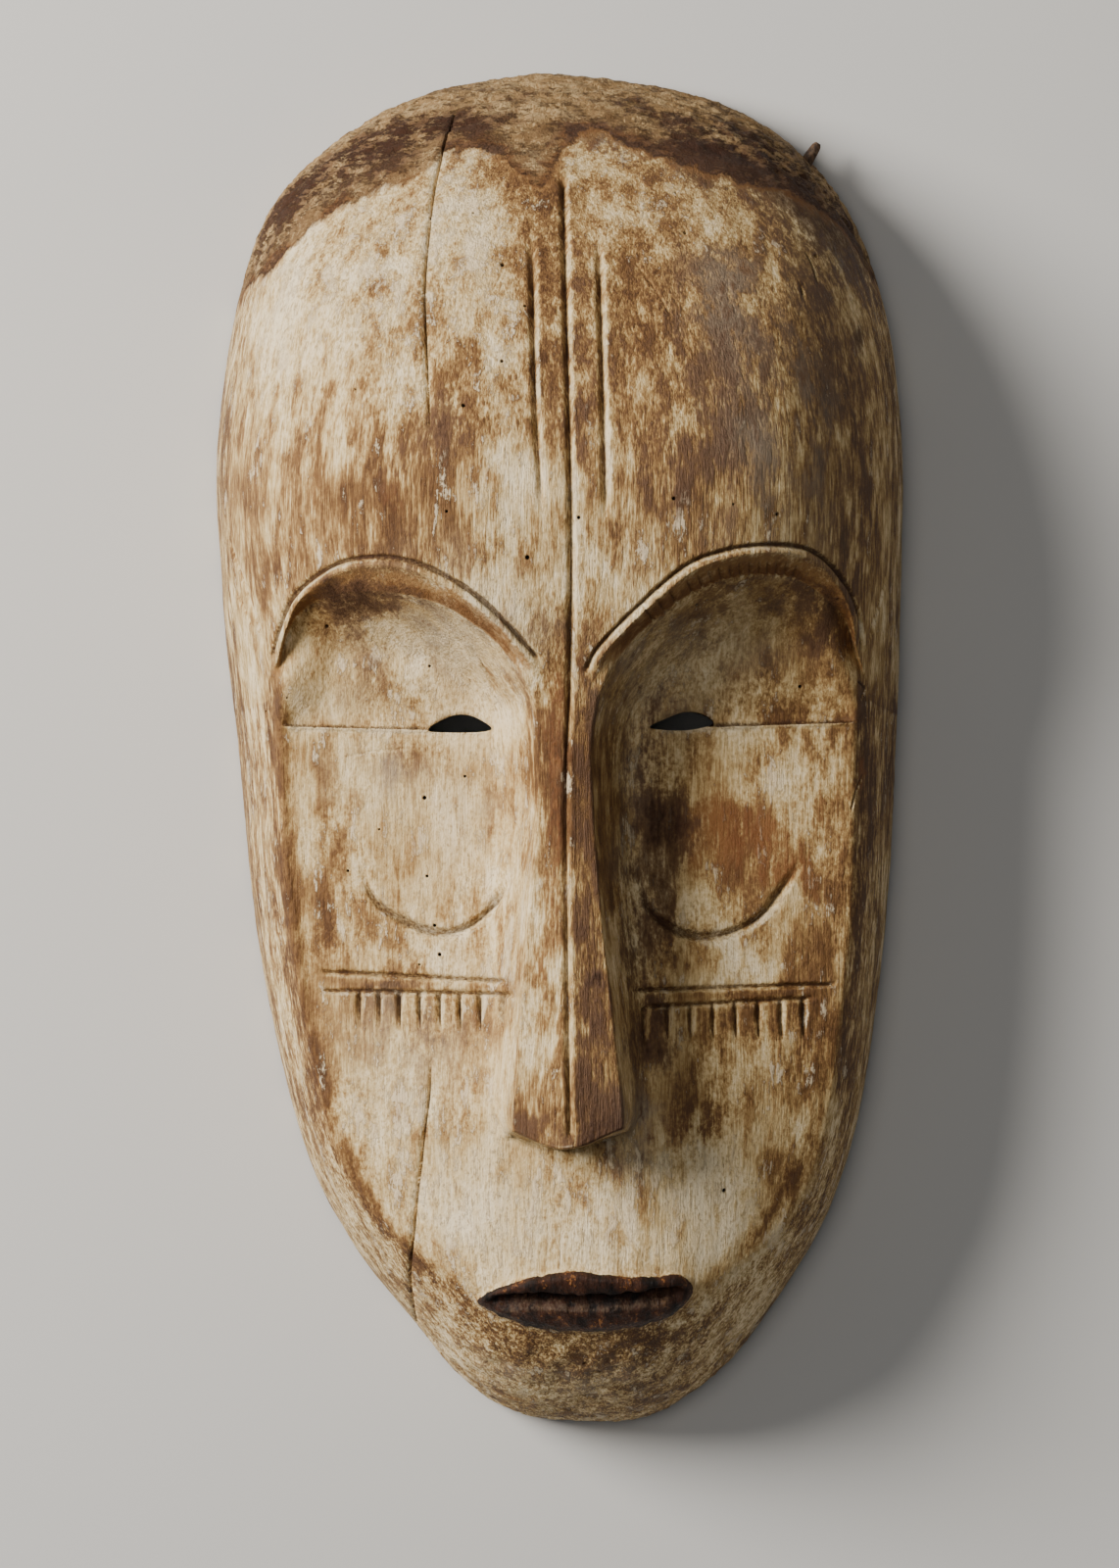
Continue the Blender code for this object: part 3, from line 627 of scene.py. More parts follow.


# How deep each point is cut into, and how much dirt and painted shade the cut holds. The wall on the left
# and crown side of each cut faces away from the lamp and keeps the dark fill as painted shade, and the wall
# across from it faces the lamp and is painted pale as a highlight.
AWAY_FROM_LAMP_RIGHT, AWAY_FROM_LAMP_DOWN = 0.30, 0.18
cut_in, dirt_and_shade, lit_wall_highlight = np.zeros(len(u)), np.zeros(len(u)), np.zeros(len(u))
for index, cut in enumerate(cuts):
    near, off, run = near_line(u, v, cut["line"], cut["width"] * 1.5 + 1)
    length = np.hypot(*np.diff(cut["line"], axis=0).T).sum()
    half = cut["width"] / 2 * (1 + 0.22 * wander(run, run, 5.0, 100 + index))
    if cut["tooth"]:
        half = half * np.interp(run, [0, length * 0.4, length], [1.0, 0.9, 0.3])
    taper = min(cut["taper"], length / 2)
    ends = np.clip((length - run + 0.8) / taper, 0, 1)
    if not cut["tooth"]:
        ends = ends * np.clip((run + 0.8) / taper, 0, 1)
    deep = cut["depth"] * ends ** 0.6 * (1 + 0.18 * wander(run, run, 9.0, 200 + index))
    share = off / half
    cut_in[near] = np.maximum(cut_in[near], deep * np.clip(1 - share, 0, 1) ** 1.1)
    beyond = near_line(u[near] + AWAY_FROM_LAMP_RIGHT, v[near] - AWAY_FROM_LAMP_DOWN, cut["line"])[1]
    before = near_line(u[near] - AWAY_FROM_LAMP_RIGHT, v[near] + AWAY_FROM_LAMP_DOWN, cut["line"])[1]
    lamp_facing_wall = ease((beyond - before) / (2 * math.hypot(AWAY_FROM_LAMP_RIGHT, AWAY_FROM_LAMP_DOWN)))
    dirt_and_shade_fill = ease((1.45 - share - 0.55 * lamp_facing_wall) / 1.1)
    dirt_and_shade[near] = np.maximum(dirt_and_shade[near], cut["dirt_and_shade"] * dirt_and_shade_fill * ends ** 0.7)
    painted_highlight = lamp_facing_wall * ease((share - 0.2) / 0.4) * ease((1.5 - share) / 0.5) * ends
    lit_wall_highlight[near] = np.maximum(lit_wall_highlight[near], painted_highlight)
for hole in holes:
    share = np.hypot(u - hole["spot"][0], v - hole["spot"][1]) / hole["size"]
    cut_in = np.maximum(cut_in, HOLE_DEPTH * ease((1.1 - share) / 0.4))
    dirt_and_shade = np.maximum(dirt_and_shade, 1.6 * ease((1.25 - share) / 0.4))

# How far each point lies up the worn crown, past the tide line
tide = distance_to(u, v, flat_line(tide_line))
over_tide = np.where(y > np.interp(x, tide_line[:, 0], tide_line[:, 1]), tide, -tide)
over_tide = over_tide + 2.4 * wander(u, v, 9.0, 51) + 1.3 * wander(u, v, 3.5, 52)
eaten = ease((over_tide - 6) / 12)
eaten_chin = ease((-224 - y) / 22) * ease((-in_lips - 3) / 5)

relief = 0.30 * wander(u, v, 15.0, 11, 3.0) + 0.16 * wander(u, v, 5.0, 12, 4.0)
relief += 0.07 * wander(u, v, 2.2, 13, 5.0) + 0.35 * (scoops(u, v, 11.0, 34.0, 14) - 0.35)
relief *= 1 - 0.6 * ease(dirt_and_shade)
relief += eaten * (0.9 * wander(u, v, 6.0, 15, 0.6) + 0.9 * np.minimum(wander(u, v, 2.6, 16), 0.1) - 0.5)
relief += eaten_chin * (0.6 * wander(u, v, 5.0, 17) + 1.1 * np.minimum(wander(u, v, 3.0, 18) + 0.2, 0))
facing = facing_of(front, front_faces)
front = front + facing * (relief - cut_in)[:, None]
rim_count = len(rim_spots)
front[:rim_count] = np.column_stack([x, y, height])[:rim_count]

# Where the surface stands proud, to be painted pale as a highlight, and where it is hollow, to be painted
# darker as shade
mean_place = np.column_stack([evened(front[:, axis], front_faces, 3) for axis in range(3)])
proud = ((front - mean_place) * facing_of(front, front_faces)).sum(axis=1)
corners = front[front_faces]
side_length = np.linalg.norm(corners - np.roll(corners, 1, axis=1), axis=2).mean(axis=1)
spacing = np.bincount(front_faces.ravel(), np.repeat(side_length, 3)) / np.bincount(front_faces.ravel())
proud = evened(proud / spacing ** 1.5, front_faces)


# The hollow back
# The block is hollowed out behind with a gouge to an even shell, and the marks are left as they fell.
RIM_WALL, FACE_WALL = 0.012 / UNIT[0], 0.012 / UNIT[2]
BACKING = [(-275, 96), (-219, 97), (-150, 93), (-60, 85), (10, 83), (60, 93), (110, 118), (170, 132),
           (220, 122), (275, 104)]
HOLLOW_SQUARENESS, HOLLOW_ROUNDING = 3.6, 2.4
BACK_SPACING, BACK_ROUNDING = 4.6, 1.4
rim_in_spots = all_round(SPREAD * reach(bearing, RIM_WALL))
slits_behind = [flat_line(np.column_stack(folded_up(*slit.T)), RIM_WALL) for slit in slits]
back_loops = [rim_in_spots] + slits_behind
spots = scatter(BACK_SPACING)[0]
spots = spots[way_out(*spots.T, RIM_WALL) < SPREAD * 0.99]
spots = thinned(spots, 2.2, np.vstack(back_loops))
back_spots, back_faces = triangles_over(back_loops, spots)
back_x, back_y = folded_up(*back_spots.T, RIM_WALL)
top = between(back_y, BACKING) - FACE_WALL
fullness = 1 - share_out(back_x, back_y, RIM_WALL) ** HOLLOW_SQUARENESS
back_height = np.hypot(top * fullness ** (1 / HOLLOW_ROUNDING), BACK_ROUNDING)
back = np.column_stack([back_x, back_y, back_height])
gouged = 1.6 * scoops(*back_spots.T, 15.0, 34.0, 21) + 0.5 * wander(*back_spots.T, 8.0, 22)
gouged = gouged * ease((SPREAD - way_out(*back_spots.T, RIM_WALL)) / 0.1)
back = back - facing_of(back, back_faces) * gouged[:, None]
back[:rim_count, 2] = BACK_ROUNDING


# The whole shell
# Front and back meet in the flat rim that the mask rests on and in the walls of the two eye slits.
RIM_STRIP = [(0.25, 0.9), (0.9, 0.25), (1.9, 0.0), (6.0, 0.0), (10.4, 0.0), (11.3, 0.4)]
SLIT_STRIP = [0.12, 0.4, 0.7]
rim_strip = []
for inset, up in RIM_STRIP:
    edge = reach(bearing, inset)
    edge = edge + 0.12 * wander(bearing * 40, bearing * 0, 1.0, 31)
    rim_strip.append(np.column_stack([all_round(edge), np.full(rim_count, up)]))
strips = [(np.arange(rim_count), np.arange(rim_count), rim_strip)]
start = rim_count
for slit in slits:
    ring = np.arange(start, start + len(slit))
    strips.append((ring, ring, [front[ring] * (1 - share) + back[ring] * share for share in SLIT_STRIP]))
    start += len(slit)
shell, faces, total = [front, back], [front_faces, back_faces[:, ::-1] + len(front)], len(front) + len(back)
for front_ring, back_ring, middle_rings in strips:
    count = len(front_ring)
    rings = [front_ring]
    for ring in middle_rings:
        shell.append(ring)
        rings.append(np.arange(total, total + count))
        total += count
    rings.append(back_ring + len(front))
    for near_ring, far_ring in zip(rings[:-1], rings[1:]):
        after, far_after = np.roll(near_ring, -1), np.roll(far_ring, -1)
        faces.append(np.column_stack([near_ring, far_ring, after]))
        faces.append(np.column_stack([after, far_ring, far_after]))
shell, faces = np.vstack(shell) * UNIT, np.vstack(faces)


def piece_of(mesh, shape):
    """Gives the mesh this shape, its faces turned outward and smooth, and puts it in the scene."""
    bmesh.ops.recalc_face_normals(shape, faces=shape.faces)
    shape.to_mesh(mesh)
    shape.free()
    mesh.shade_smooth()
    piece = bpy.data.objects.new(mesh.name, mesh)
    bpy.context.scene.collection.objects.link(piece)
    return piece


mesh = bpy.data.meshes.new("mask_shell")
mesh.from_pydata(shell.tolist(), [], faces.tolist())
shape = bmesh.new()
shape.from_mesh(mesh)
mask = piece_of(mesh, shape)


# The white clay and its stains
# The face was rubbed with white clay, which smoke, hands and water have since worn and stained. Each
# stain is an oval: its place, half width, half length, and strength. A few ovals far out on the right side
# are painted shade, darkening the side that faces away from the lamp.
STAIN_AND_SHADE_OVALS = {
    "warm": [
        (-58, 116, 17, 15, 0.9), (-82, 139, 11, 15, 0.8), (-64, 99, 10, 18, 0.9), (-62, 84, 5, 9, 0.8),
        (-46, 128, 12, 20, 0.9), (-5, 170, 6, 90, 0.85), (9, 150, 8, 75, 1.0), (34, 150, 20, 70, 0.8),
        (62, 150, 26, 62, 0.75), (92, 150, 24, 90, 0.6), (1, 20, 13, 32, 1.0), (-128, 110, 16, 60, 0.4),
        (2, -20, 11, 44, 0.8), (11, -80, 9, 80, 0.8), (-96, 55, 16, 14, 0.8), (-80, 56, 24, 9, 0.7),
        (104, 42, 18, 30, 0.75), (88, 62, 26, 9, 0.8), (54, -143, 24, 20, 0.6), (-94, -79, 7, 18, 0.8),
        (-108, 92, 20, 40, 0.45), (-16, 228, 12, 16, 1.0), (-10, 205, 6, 26, 0.8), (98, -110, 14, 40, 0.5),
        (-37, -10, 9, 6, 0.5), (-28, -24, 8, 9, 0.5), (-58, -95, 42, 4, 0.8), (68, -99, 40, 4, 0.8),
        # The warm ovals at (122, 60) and (122, -60), far out on the right side away from the lamp, are
        # painted shade
        (-50, -107, 36, 8, 0.45), (66, -110, 38, 9, 0.6), (52, 146, 46, 76, 0.9), (122, 60, 30, 160, 0.5),
        (122, -60, 24, 90, 0.25), (112, 150, 30, 60, 0.6), (-130, 0, 14, 120, 0.4),
        (-96, 10, 10, 60, 0.35), (76, -30, 34, 30, 0.5), (22, 105, 5, 60, 0.3), (-30, 120, 10, 60, 0.2),
        (-10, -240, 60, 26, 0.45), (-70, -60, 18, 24, 0.3), (-70, 78, 60, 18, 0.55),
        (-84, 100, 40, 20, 0.3),
    ],
    "dark": [
        (-47, 124, 11, 15, 0.7), (-64, 108, 8, 16, 0.5), (-84, 54, 17, 8, 1.0), (-68, 60, 20, 4, 0.5),
        (98, 61, 14, 7, 0.45), (108, 44, 9, 16, 0.4), (40, -45, 9, 60, 0.7), (46, -30, 10, 20, 0.4),
        (0, 24, 8, 16, 0.3), (-72, 31, 9, 9, 0.3), (30, -60, 8, 90, 0.35), (38, -116, 10, 16, 0.5),
        (13, -80, 5, 90, 0.45), (60, 130, 14, 40, 0.4), (40, 110, 12, 30, 0.35), (-80, 240, 60, 34, 0.9),
        (-48, 248, 36, 16, 0.8), (-106, 222, 40, 34, 0.7), (60, 236, 34, 14, 1.0), (86, 230, 44, 26, 1.0),
        (110, 212, 40, 36, 0.9), (66, 250, 50, 22, 0.7), (8, 246, 18, 9, 0.8), (-120, 200, 20, 14, 0.5),
        # The dark oval at (124, 90), far out on the right side away from the lamp, is painted shade
        (52, -146, 16, 14, 0.4), (124, 90, 22, 110, 0.3), (12, -92, 2.5, 4, 1.0), (119, 165, 5, 9, 0.9),
        (82, 152, 14, 30, 0.35), (98, 178, 12, 16, 0.4), (10, 150, 12, 60, 0.45), (50, 150, 30, 60, 0.25),
    ],
    "red": [
        (70, -36, 34, 20, 0.75), (52, -26, 14, 14, 0.6), (88, -52, 16, 14, 0.5), (0, -40, 9, 70, 0.5),
        (4, 24, 10, 26, 0.5), (-64, 98, 9, 16, 0.5), (50, -148, 16, 14, 0.5), (118.5, -17, 2.5, 9, 1.0),
    ],
    "pale": [
        (-39, 208, 18, 22, 1.0), (-58, 177, 16, 26, 0.6), (-112, 173, 14, 26, 0.8),
        (-27, 178, 11, 36, 0.8), (-84, 182, 24, 22, 0.6), (34, 210, 18, 13, 1.0), (28, 76, 22, 13, 0.9),
        (-24, 66, 18, 18, 0.9), (-30, -178, 46, 30, 0.9), (89, -15, 11, 8, 1.2), (70, -22, 8, 6, 0.8),
        (81, -88, 16, 8, 1.0), (46, -156, 9, 8, 0.8), (69, -182, 16, 10, 0.8), (-17, -80, 4, 80, 0.6),
        (-42, 42, 28, 20, 0.5), (-19, 10, 7, 20, 0.6), (-100, 12, 10, 8, 0.5), (-50, -84, 26, 8, 0.7),
        (22, -192, 34, 14, 0.9), (-66, -140, 26, 26, 0.6), (-116, 120, 10, 46, 0.4),
        (64, -200, 16, 9, 0.5), (-5, -76, 3, 34, 0.5), (-8, -128, 5, 10, 0.5), (44, -174, 38, 16, 0.9),
        (-44, -40, 16, 22, 0.5), (46, 196, 14, 24, 0.6), (56, 88, 20, 10, 0.5),
    ],
    "grey": [
        (-44, 46, 34, 20, 0.9), (40, 26, 20, 22, 0.55), (30, -20, 8, 70, 0.5), (60, 42, 26, 12, 0.45),
        (-68, -12, 18, 10, 0.7), (-90, 18, 16, 8, 0.4), (66, 170, 16, 30, 0.5), (-5, -255, 44, 16, 0.5),
        (-40, -32, 12, 18, 0.6), (30, -150, 12, 20, 0.7), (-60, -120, 24, 20, 0.5), (84, 120, 24, 60, 0.5),
    ],
}
warp_u = u + 4.5 * wander(u, v, 12.0, 61) + 2.6 * wander(u, v, 5.2, 62) + 1.2 * wander(u, v, 2.4, 65)
warp_v = v + 6.0 * wander(u, v, 14.0, 63, 1.5) + 3.4 * wander(u, v, 6.0, 64, 1.5)


def marked_by_ovals(stains):
    """How strongly each point of the front is marked by these ovals of stain and painted shade."""
    clean = np.ones(len(u))
    for across, along, wide, tall, strength in stains:
        across, along = laid_flat(np.array([across]), np.array([along]))
        spread = ((warp_u - across) / wide) ** 2 + ((warp_v - along) / tall) ** 2
        clean = clean * (1 - np.minimum(strength, 1) * np.exp(-1.1 * spread))
    return 1 - clean


marks = {name: marked_by_ovals(stains) for name, stains in STAIN_AND_SHADE_OVALS.items()}
marks |= {
    "sunk": ease(form["from_edge"] / 3), "dirt_and_shade": dirt_and_shade, "tide": over_tide, "proud": np.clip(proud, -1, 1),
    "lips": ease((in_lips + 0.6) / 1.2), "side": form["side"], "bare": np.zeros(len(u)),
    "bevel": form["bevel"] * ease(1.15 + form["from_edge"] / 9),
}


def deepen(name, values):
    """Raises a mark to these values where they are higher."""
    marks[name] = np.maximum(marks[name], values)


# The nose is browned, its right side and its end most of all
on_nose = ease((-form["from_edge"] + 1.0) / 1.4) * ease((34 - y) / 24)
nose_right = ease((x - between(y, MIDDLE) - 1) / 3)
nose_end = ease((-124 - y + 7.0 * wander(x, y, 7.0, 68)) / 30)
deepen("warm", on_nose * (0.36 + 0.62 * nose_right + 0.68 * nose_end))
deepen("dark", on_nose * (0.42 * nose_right + 0.42 * nose_end ** 2))
straight = u + 0.8 * wander(u, v, 3.0, 66, 4.0)
for border in BORDERS:
    off = distance_to(straight - border["out"], v, smooth_line(border["line"])) / border["width"]
    streaky = 1 + 0.35 * wander(u, v, 2.2, 67, 8.0)
    for name, closer in (("warm", 1), ("dark", 1.5)):
        deepen(name, border[name] * streaky * np.exp(-(off * closer) ** 2))
mouth = smooth_line(MOUTH)
under = np.interp(x, mouth[:, 0], mouth[:, 1]) - y
worn_lip = ease((under - 2.6) / 0.8) * ease((4.6 - under) / 1.2) * ease((x + 24) / 14) * ease((50 - x) / 10)
marks["pale"] = np.where(in_lips > 0, worn_lip, marks["pale"])
# A painted highlight along the ledge under each lid line
for over, along in by_lids(x, y):
    deepen("pale", along * ease((0.2 - over) / 0.8) * ease((3.4 + over) / 1.6))
# The painted highlight on the lamp-facing walls of the cuts, weaker on the nose, whitens the clay and
# clears its stains there
lit_wall_highlight = lit_wall_highlight * (1 - 0.6 * on_nose)
deepen("pale", lit_wall_highlight * 1.1)
for name in ("warm", "dark", "red"):
    marks[name] = marks[name] * (1 - 0.75 * lit_wall_highlight)
for name, values in marks.items():
    layer = mesh.attributes.new(name, "FLOAT", "POINT")
    every = np.full(len(shell), 1.0 if name == "bare" else 0.0)
    every[:len(values)] = values
    layer.data.foreach_set("value", every.astype(np.float32))


class Wire:
    """A socket in a material. Sums on it add the Math nodes that work them out."""

    def __init__(self, finish, socket):
        self.finish = finish
        self.socket = socket

    def worked(self, operation, first, second=0.0):
        return self.finish.node("ShaderNodeMath", {"operation": operation}, {0: first, 1: second})

    def __add__(self, other):
        return self.worked("ADD", self, other)

    def __radd__(self, other):
        return self.worked("ADD", other, self)

    def __sub__(self, other):
        return self.worked("SUBTRACT", self, other)

    def __rsub__(self, other):
        return self.worked("SUBTRACT", other, self)

    def __mul__(self, other):
        return self.worked("MULTIPLY", self, other)

    def __rmul__(self, other):
        return self.worked("MULTIPLY", other, self)


class Finish:
    """A material, and the ways in which its nodes are added."""

    def __init__(self, name):
        self.material = bpy.data.materials.new(name)
        self.material.use_nodes = True
        self.tree = self.material.node_tree
        self.shader = self.tree.nodes["Principled BSDF"]
        self.place = self.node("ShaderNodeTexCoord", output="Object")

    def node(self, kind, settings=None, inputs=None, output=0):
        node = self.tree.nodes.new(kind)
        for name, value in (settings or {}).items():
            setattr(node, name, value)
        for name, value in (inputs or {}).items():
            self.feed(node.inputs[name], value)
        return Wire(self, node.outputs[output])

    def feed(self, socket, value):
        if isinstance(value, Wire):
            self.tree.links.new(value.socket, socket)
        elif isinstance(value, tuple) and socket.type == "RGBA":
            socket.default_value = (*value, 1.0)
        else:
            socket.default_value = value

    def mark(self, name):
        return self.node("ShaderNodeAttribute", {"attribute_name": name}, output="Fac")

    def grain(self, size, along=1.0, detail=3.0, rough=0.55, shift=0.0):
        """Noise from 0 to 1 with lumps of this size in metres, drawn out along the mask."""
        stretch = (1 / size, 1 / (size * along), 1 / size)
        place = self.node("ShaderNodeVectorMath", {"operation": "MULTIPLY_ADD"},
                          {0: self.place, 1: stretch, 2: (shift, shift, shift)})
        return self.node("ShaderNodeTexNoise", {}, {"Vector": place, "Scale": 1.0, "Detail": detail,
                                                    "Roughness": rough}, output="Fac")

    def tone(self, value, stops):
        """The colour at this value on a ramp through the stops, each a value and its colour."""
        first, last = stops[0][0], stops[-1][0]
        share = self.node("ShaderNodeMapRange", {}, {"Value": value, "From Min": first, "From Max": last})
        ramp = self.node("ShaderNodeValToRGB", {}, {"Fac": share})
        elements = ramp.socket.node.color_ramp.elements
        for (place, colour), element in zip(stops, [*elements] + [None] * len(stops)):
            at = (place - first) / (last - first)
            element = element or elements.new(at)
            element.position = at
            element.color = (*colour, 1.0)
        return ramp

    def rise(self, value, start, end):
        """Runs gently from 0 to 1 as the value goes from start to end."""
        return self.node("ShaderNodeMapRange", {"interpolation_type": "SMOOTHSTEP"},
                         {"Value": value, "From Min": start, "From Max": end})

    def coats(self, colour, layers):
        """Lays coats over a colour in turn, each another colour and the share of it that covers."""
        for over, share in layers:
            colour = self.node("ShaderNodeMix", {"data_type": "RGBA", "clamp_factor": True},
                               {0: share, 6: colour, 7: over}, output=2)
        return colour


CHALK, CLAY_GREY, CLAY_THIN = (0.92, 0.755, 0.505), (0.52, 0.45, 0.33), (0.43, 0.295, 0.14)
WEAR = [(-1.3, (0.92, 0.76, 0.50)), (-0.55, (0.78, 0.60, 0.335)), (-0.05, (0.61, 0.425, 0.195)),
        (0.42, (0.385, 0.228, 0.084)), (0.9, (0.205, 0.100, 0.034)), (1.6, (0.090, 0.038, 0.013))]
WOOD_LIGHT, WOOD_WARM, WOOD_DARK = (0.36, 0.18, 0.060), (0.17, 0.068, 0.020), (0.050, 0.020, 0.010)
WOOD_BLACK, WOOD_RED, WOOD_PLUM = (0.008, 0.005, 0.004), (0.24, 0.086, 0.026), (0.135, 0.068, 0.035)
CROWN_SAND, CROWN_PALE, CROWN_TAN = (0.31, 0.19, 0.082), (0.54, 0.37, 0.185), (0.18, 0.10, 0.042)
LIP_BROWN, LIP_WORN, LIP_ORANGE = (0.060, 0.022, 0.011), (0.105, 0.068, 0.042), (0.46, 0.17, 0.035)
BACK_LIGHT, BACK_DARK = (0.22, 0.115, 0.05), (0.075, 0.035, 0.016)

clay = Finish("white clay on worn wood")
hair = clay.grain(0.0007, 14.0, 4.0, 0.65, 3.0) - 0.5
streak = clay.grain(0.0015, 9.0, 5.0, 0.65) - 0.5
ribbon = clay.grain(0.0060, 6.0, 5.0, 0.6, 29.0) - 0.5
speck = clay.grain(0.0014, 1.5, 4.0, 0.7, 17.0) - 0.5
blotch = clay.grain(0.0075, 2.6, 7.0, 0.66, 11.0) - 0.5
chalky = clay.grain(0.0085, 2.4, 7.0, 0.69, 37.0) - 0.5
cloud = clay.grain(0.024, 1.5, 5.0, 0.62, 7.0) - 0.5
drift = clay.grain(0.060, 1.4, 3.0, 0.5, 41.0) - 0.5
warm, dark, red, pale, grey = (clay.mark(name) for name in ("warm", "dark", "red", "pale", "grey"))
grime_and_shade, tide_up, standing, lips = (clay.mark(name) for name in ("dirt_and_shade", "tide", "proud", "lips"))
bevel, bare, side, sunk = (clay.mark(name) for name in ("bevel", "bare", "side", "sunk"))

# How far the clay is worn down to the wood, in streaks along the grain and in blotches
along_grain = streak * 3.2 + hair * 2.8 + ribbon * 2.6
busy = clay.rise(clay.grain(0.034, 1.5, 3.0, 0.6, 53.0), 0.36, 0.64) + 0.45
mottle = (blotch * 3.8 + speck * (1.0 + sunk)) * busy
worn = warm * 1.2 + side * 0.36 + along_grain * (1.0 - sunk * 0.45 + side * 1.2) + mottle
worn = worn + cloud * 3.6 + drift * 2.0 - pale * 0.42 - 0.08
# Chalk that still lies thick in flakes and along the grain
chalk = pale * 0.4 + chalky * 4.6 + speck * 1.5 + along_grain * 0.5 + cloud * 1.2 - warm * 0.45 - 0.40
thick = clay.rise(chalk, 0.0, 0.30)
# Pores and scratches where the clay is thin and the tan wood shows through
thin = clay.rise(speck * 1.2 + streak * 0.9 + hair * 0.5, -0.02, 0.22) * (1 - clay.rise(worn, -0.1, 0.6))
# Stains over both
reddened = red * 1.5 + blotch * 2.6 + streak * 1.2 + speck
browned = bevel * 1.3 + blotch * 2.0 + streak
darkened = dark * 1.4 + blotch * 2.2 + cloud + streak * 0.9 + speck * 0.8
# The worn crown: a purple-brown line where it starts, tan above it, and sand with dark flecks further up
ragged = tide_up + blotch * 18.0 + speck * 6.0
crown_up = clay.rise(ragged, -1.2, 2.0)
far_up = clay.rise(tide_up + cloud * 40.0, 8.0, 26.0)
flecks = clay.rise(clay.grain(0.0060, 0.45, 7.0, 0.78, 23.0) + cloud * 0.5 + dark * 0.10, 0.55, 0.62)
band_wide = cloud * 60.0 + blotch * 20.0 + dark * 10.0 + 5.0
sand = clay.coats(CROWN_TAN, [
    (CROWN_SAND, clay.rise(blotch * 2.5 + speck * 1.5 + far_up * 0.5, -0.2, 0.4)),
    (CROWN_PALE, clay.rise(chalky * 2.5 + speck * 2.0 + far_up * 0.2, 0.1, 0.45) * 0.8),
    (WOOD_WARM, clay.rise(band_wide - tide_up, 0.0, 7.0) * 0.8),
    (WOOD_DARK, clay.rise(2.6 - ragged + cloud * 16.0 + dark * 5.0, 0.0, 3.0) * 0.8),
    (WOOD_PLUM, clay.rise(dark + cloud * 3.0 + blotch * 3.0, 0.25, 1.0) * 0.85),
    (WOOD_DARK, flecks * (far_up * 0.2 + dark * 0.5 + 0.3)),
])
fringe = clay.rise(tide_up + 5.0 + cloud * 24.0 + blotch * 26.0 + dark * 3.0, 0.0, 9.0) * (1 - crown_up)
close_by = clay.rise(tide_up + 3.0 + blotch * 20.0 + dark * 2.0, 0.0, 5.0) * (1 - crown_up)
# Chalk painted on proud edges as a highlight, the blackened lips, and the bare wood behind
painted_highlight = clay.rise(standing - dark * 0.5 - warm * 0.15, 0.10, 0.40) * clay.rise(blotch, -0.12, 0.10)
lip_colour = clay.coats(WOOD_BLACK, [
    (LIP_BROWN, clay.rise(blotch, -0.12, 0.12)),
    (LIP_ORANGE, clay.rise(speck + blotch, 0.13, 0.23) * 0.7),
    (LIP_WORN, clay.rise(pale + blotch * 3.0 + speck * 3.0, 0.3, 1.3) * 0.8),
])
back_colour = clay.coats(BACK_DARK, [(BACK_LIGHT, clay.rise(streak + cloud, -0.18, 0.18))])
# All of them in the order in which they lie, with the painted highlight on proud edges, painted shade in
# the hollows, dirt with painted shade in the cuts, and specks on top
colour = clay.coats(clay.tone(worn, WEAR), [
    (CLAY_GREY, grey * clay.rise(blotch * 2.5 + cloud * 2, -0.4, 0.35) * 0.7),
    (CHALK, thick * 0.7),
    (CLAY_THIN, thin * 0.55),
    (WOOD_RED, clay.rise(reddened, 0.45, 1.35) * 0.7),
    (WOOD_LIGHT, clay.rise(browned, 0.1, 0.7) * 0.75),
    (WOOD_WARM, clay.rise(browned, 0.75, 1.4) * 0.85),
    (WOOD_PLUM, clay.rise(darkened, 0.35, 0.85) * 0.75),
    (WOOD_DARK, clay.rise(darkened, 0.75, 1.45) * 0.85),
    (sand, crown_up),
    (WOOD_LIGHT, fringe * 0.5),
    (WOOD_WARM, close_by * (dark * 0.6 + 0.3)),
    # Painted highlight on proud edges
    (CHALK, painted_highlight * 0.3),
    # Painted shade in the hollows
    (WOOD_DARK, clay.rise(standing * -1.0, 0.12, 0.60) * 0.5),
    # Dirt in the cuts and holes, kept to the walls facing away from the lamp as painted shade
    (WOOD_DARK, clay.rise(grime_and_shade + speck, 0.35, 1.15) * 0.8),
    (WOOD_BLACK, clay.rise(grime_and_shade, 1.2, 1.5)),
    (WOOD_WARM, clay.rise(speck, 0.15, 0.24) * 0.6),
    (lip_colour, clay.rise(lips + speck, 0.35, 0.6)),
    (back_colour, clay.rise(bare, 0.4, 0.6)),
])
clay.feed(clay.shader.inputs["Base Color"], colour)
roughness = 0.80 - clay.rise(worn, 0.2, 0.9) * 0.25 - lips * 0.25 + crown_up * 0.1
clay.feed(clay.shader.inputs["Roughness"], roughness)
clay.shader.inputs["Specular IOR Level"].default_value = 0.2
height_of = along_grain * (0.38 - sunk * 0.18) + blotch * 1.1 + speck * 0.8
height_of = height_of + thick * 0.25 - flecks * crown_up * 0.9
bump = clay.node("ShaderNodeBump", {}, {"Strength": 0.9, "Distance": 0.0008, "Height": height_of})
clay.feed(clay.shader.inputs["Normal"], bump)
mesh.materials.append(clay.material)

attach(mask, "root")
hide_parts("mask")


# The peg
# A thorn of dark hard wood is driven into the edge beside the crown, whittled to a blunt tip.
peg_low, peg_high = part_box("peg")
peg_points = np.array([vertex.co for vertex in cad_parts["peg"].data.vertices])
PEG_LEAN, PEG_CREASE = math.radians(58.0), math.radians(50)
PEG_SIDES, PEG_RINGS = 18, 14
